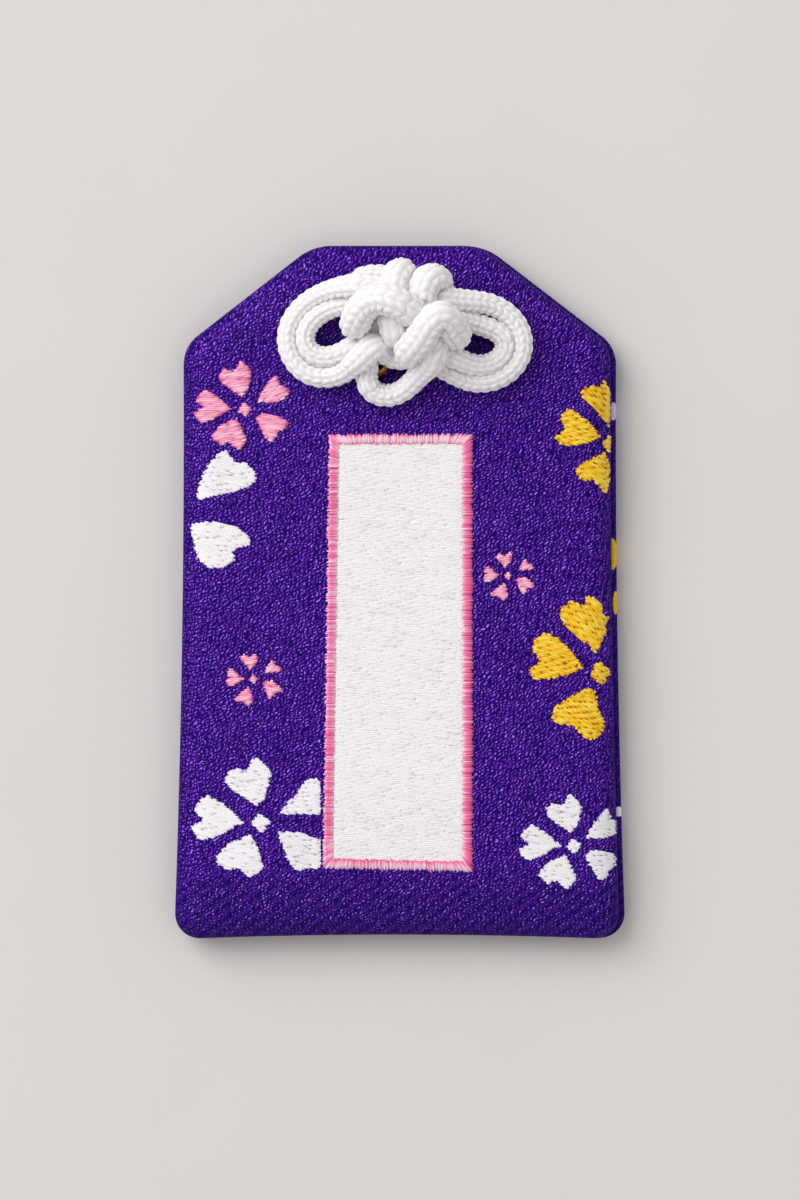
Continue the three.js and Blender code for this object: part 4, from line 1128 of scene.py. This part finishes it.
def tail_line(side):
    """Centre line of a tail: straight down from the eyelet, round a bend, and along to the middle."""
    bend = np.linspace(0, np.pi / 2, 5)
    x = np.concatenate([[EYELET_X] * 3, EYELET_X - TAIL_BEND * (1 - np.cos(bend)), [1.0, 0.6, 0.15]])
    z = np.concatenate([[6.35, 5.6, 4.7], TAIL_LEVEL + TAIL_BEND * (1 - np.sin(bend)), [TAIL_LEVEL] * 3])
    return np.stack([side * x, np.full(len(x), EYELET_Y), z], axis=1)


for side, name in ((-1, "left"), (1, "right")):
    tail, _ = braided(f"{name}_tail_braid", tail_line(side), TAIL_DIAMETER, cord_silk)
    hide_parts(f"{name}_cord_tail")
    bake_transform(tail)

turns = np.linspace(0, 2 * np.pi * WINDINGS, WINDING_POINTS)
wound = np.linspace(-WINDING_HALF, WINDING_HALF, WINDING_POINTS)
winding = np.stack([
    wound, EYELET_Y + WINDING_RADIUS * np.cos(turns), TAIL_LEVEL + WINDING_RADIUS * np.sin(turns)], axis=1)
whipping, _ = braided(
    "whipping_thread", winding, 0.3, cord_silk, columns=2, pitch=0.4, relief=0.02, step=0.12)
dress(whipping, "pouch", "white_cord", "tail_whipping")

# %% [markdown]
# Below the whipping a wooden tablet lies in a paper band between a cotton lining and a soft pad. The lining
# and the pad are shells like the panels, cut off straight below the eyelets. The rigid solids are good as
# they are, and only take a finish: one grain, stretched along the wood and even elsewhere.

# %% Lining, wadding and plain finishes
def grained(name, dark, light, scale, roughness, distance, stretch=(1, 1, 1), **values):
    """Material with a stretched grain on the object's own coordinates."""
    material, tree, shader = new_material(name, Roughness=roughness, **values)
    drawn = put(tree, "ShaderNodeVectorMath", {0: object_place(tree), 1: stretch}, operation="MULTIPLY")
    grain = noise(drawn.outputs[0], scale, 4.0)
    tree.links.new(mix(smooth_step(grain, 0.3, 0.7), dark, light), shader.inputs["Base Color"])
    bump(shader, grain, distance, 0.5)
    return material


cotton = grained("cotton", rgb(215, 208, 195), rgb(240, 236, 226), 2500.0, 0.9, 0.00008)
fluff = grained("wadding", rgb(225, 221, 212), rgb(250, 248, 242), 900.0, 1.0, 0.0003)
paper = grained("paper", rgb(232, 228, 216), rgb(248, 246, 238), 700.0, 0.8, 0.00003)
wood = grained("tablet_wood", rgb(178, 128, 78), rgb(222, 184, 132), 300.0, 0.6, 0.00004, (4, 0.3, 4))
brass = grained("gilt_brass", rgb(186, 140, 52), rgb(228, 186, 96), 1200.0, 0.3, 0.00001, Metallic=1.0)

INSIDE_TOP = 19.5
LINING_EDGE, LINING_LOW, LINING_HIGH = 3.6, 0.8, 1.1
PAD_EDGE = 4.6
PAD_FOOT = 3.98
lining_inset = np.concatenate([
    np.linspace(MIDDLE_INSET, LINING_EDGE, 12), [3.5, LINING_EDGE], np.linspace(4.5, MIDDLE_INSET, 8)])
lining_height = np.concatenate([np.full(12, LINING_LOW), [0.95, LINING_HIGH], np.full(8, LINING_HIGH)])
lining_rings = at_heights(lining_inset, lining_height)
lining_rings[..., 1] = np.minimum(lining_rings[..., 1], INSIDE_TOP)
lining = shell("cotton_lining", lining_rings, cotton)
dress(lining, "pouch", "cotton", "back_lining")

pad_crown = np.linspace(MIDDLE_INSET, PAD_EDGE, 14)
pad_angle = np.linspace(np.pi / 2, 0.28, 10)
pad_inset = np.concatenate([pad_crown, 4.5 - 3.6 * np.cos(pad_angle)])
pad_height = np.concatenate([front_height(pad_crown) - 0.85, 2.95 + 1.4 * np.sin(pad_angle)])
pad_foot = at_heights(np.array([1.6, 6.0, MIDDLE_INSET]), np.full(3, PAD_FOOT))
pad_rings = np.concatenate([at_heights(pad_inset, np.maximum(pad_height, 4.0)), pad_foot])
pad_rings[..., 0] = front_x(pad_rings[..., 0])
pad_rings[..., 1] = np.minimum(pad_rings[..., 1], INSIDE_TOP)
pad = shell("soft_wadding", pad_rings, fluff)
dress(pad, "pouch", "wadding", "front_wadding")

FINISHES = {
    "left_eyelet": brass, "right_eyelet": brass, "left_eyelet_washer": brass, "right_eyelet_washer": brass,
    "inner_tablet": wood, "tablet_wrapper": paper, "seam_thread": purple_thread,
}
for node, finish in FINISHES.items():
    mesh = bpy.data.objects[node].data
    mesh.materials.clear()
    mesh.materials.append(finish)

# %% [markdown]
# ## Floor
# A plain pale floor catches the soft shadow. It lies a hair below the charm.

# %% Floor
FLOOR_HALF, FLOOR_LEVEL = 2000, -0.05
floor_material, tree, shader = new_material("floor", Roughness=0.9)
speck = noise(object_place(tree), 60.0, 3.0)
tree.links.new(mix(speck, rgb(217, 213, 209), rgb(220, 216, 212)), shader.inputs["Base Color"])
floor_corners = np.array([(-1, -1, 0), (1, -1, 0), (1, 1, 0), (-1, 1, 0)])
floor_points = floor_corners * FLOOR_HALF + (0, 0, FLOOR_LEVEL)
floor = add_mesh("floor", floor_points, np.array([[0, 1, 2, 3]]), floor_material)
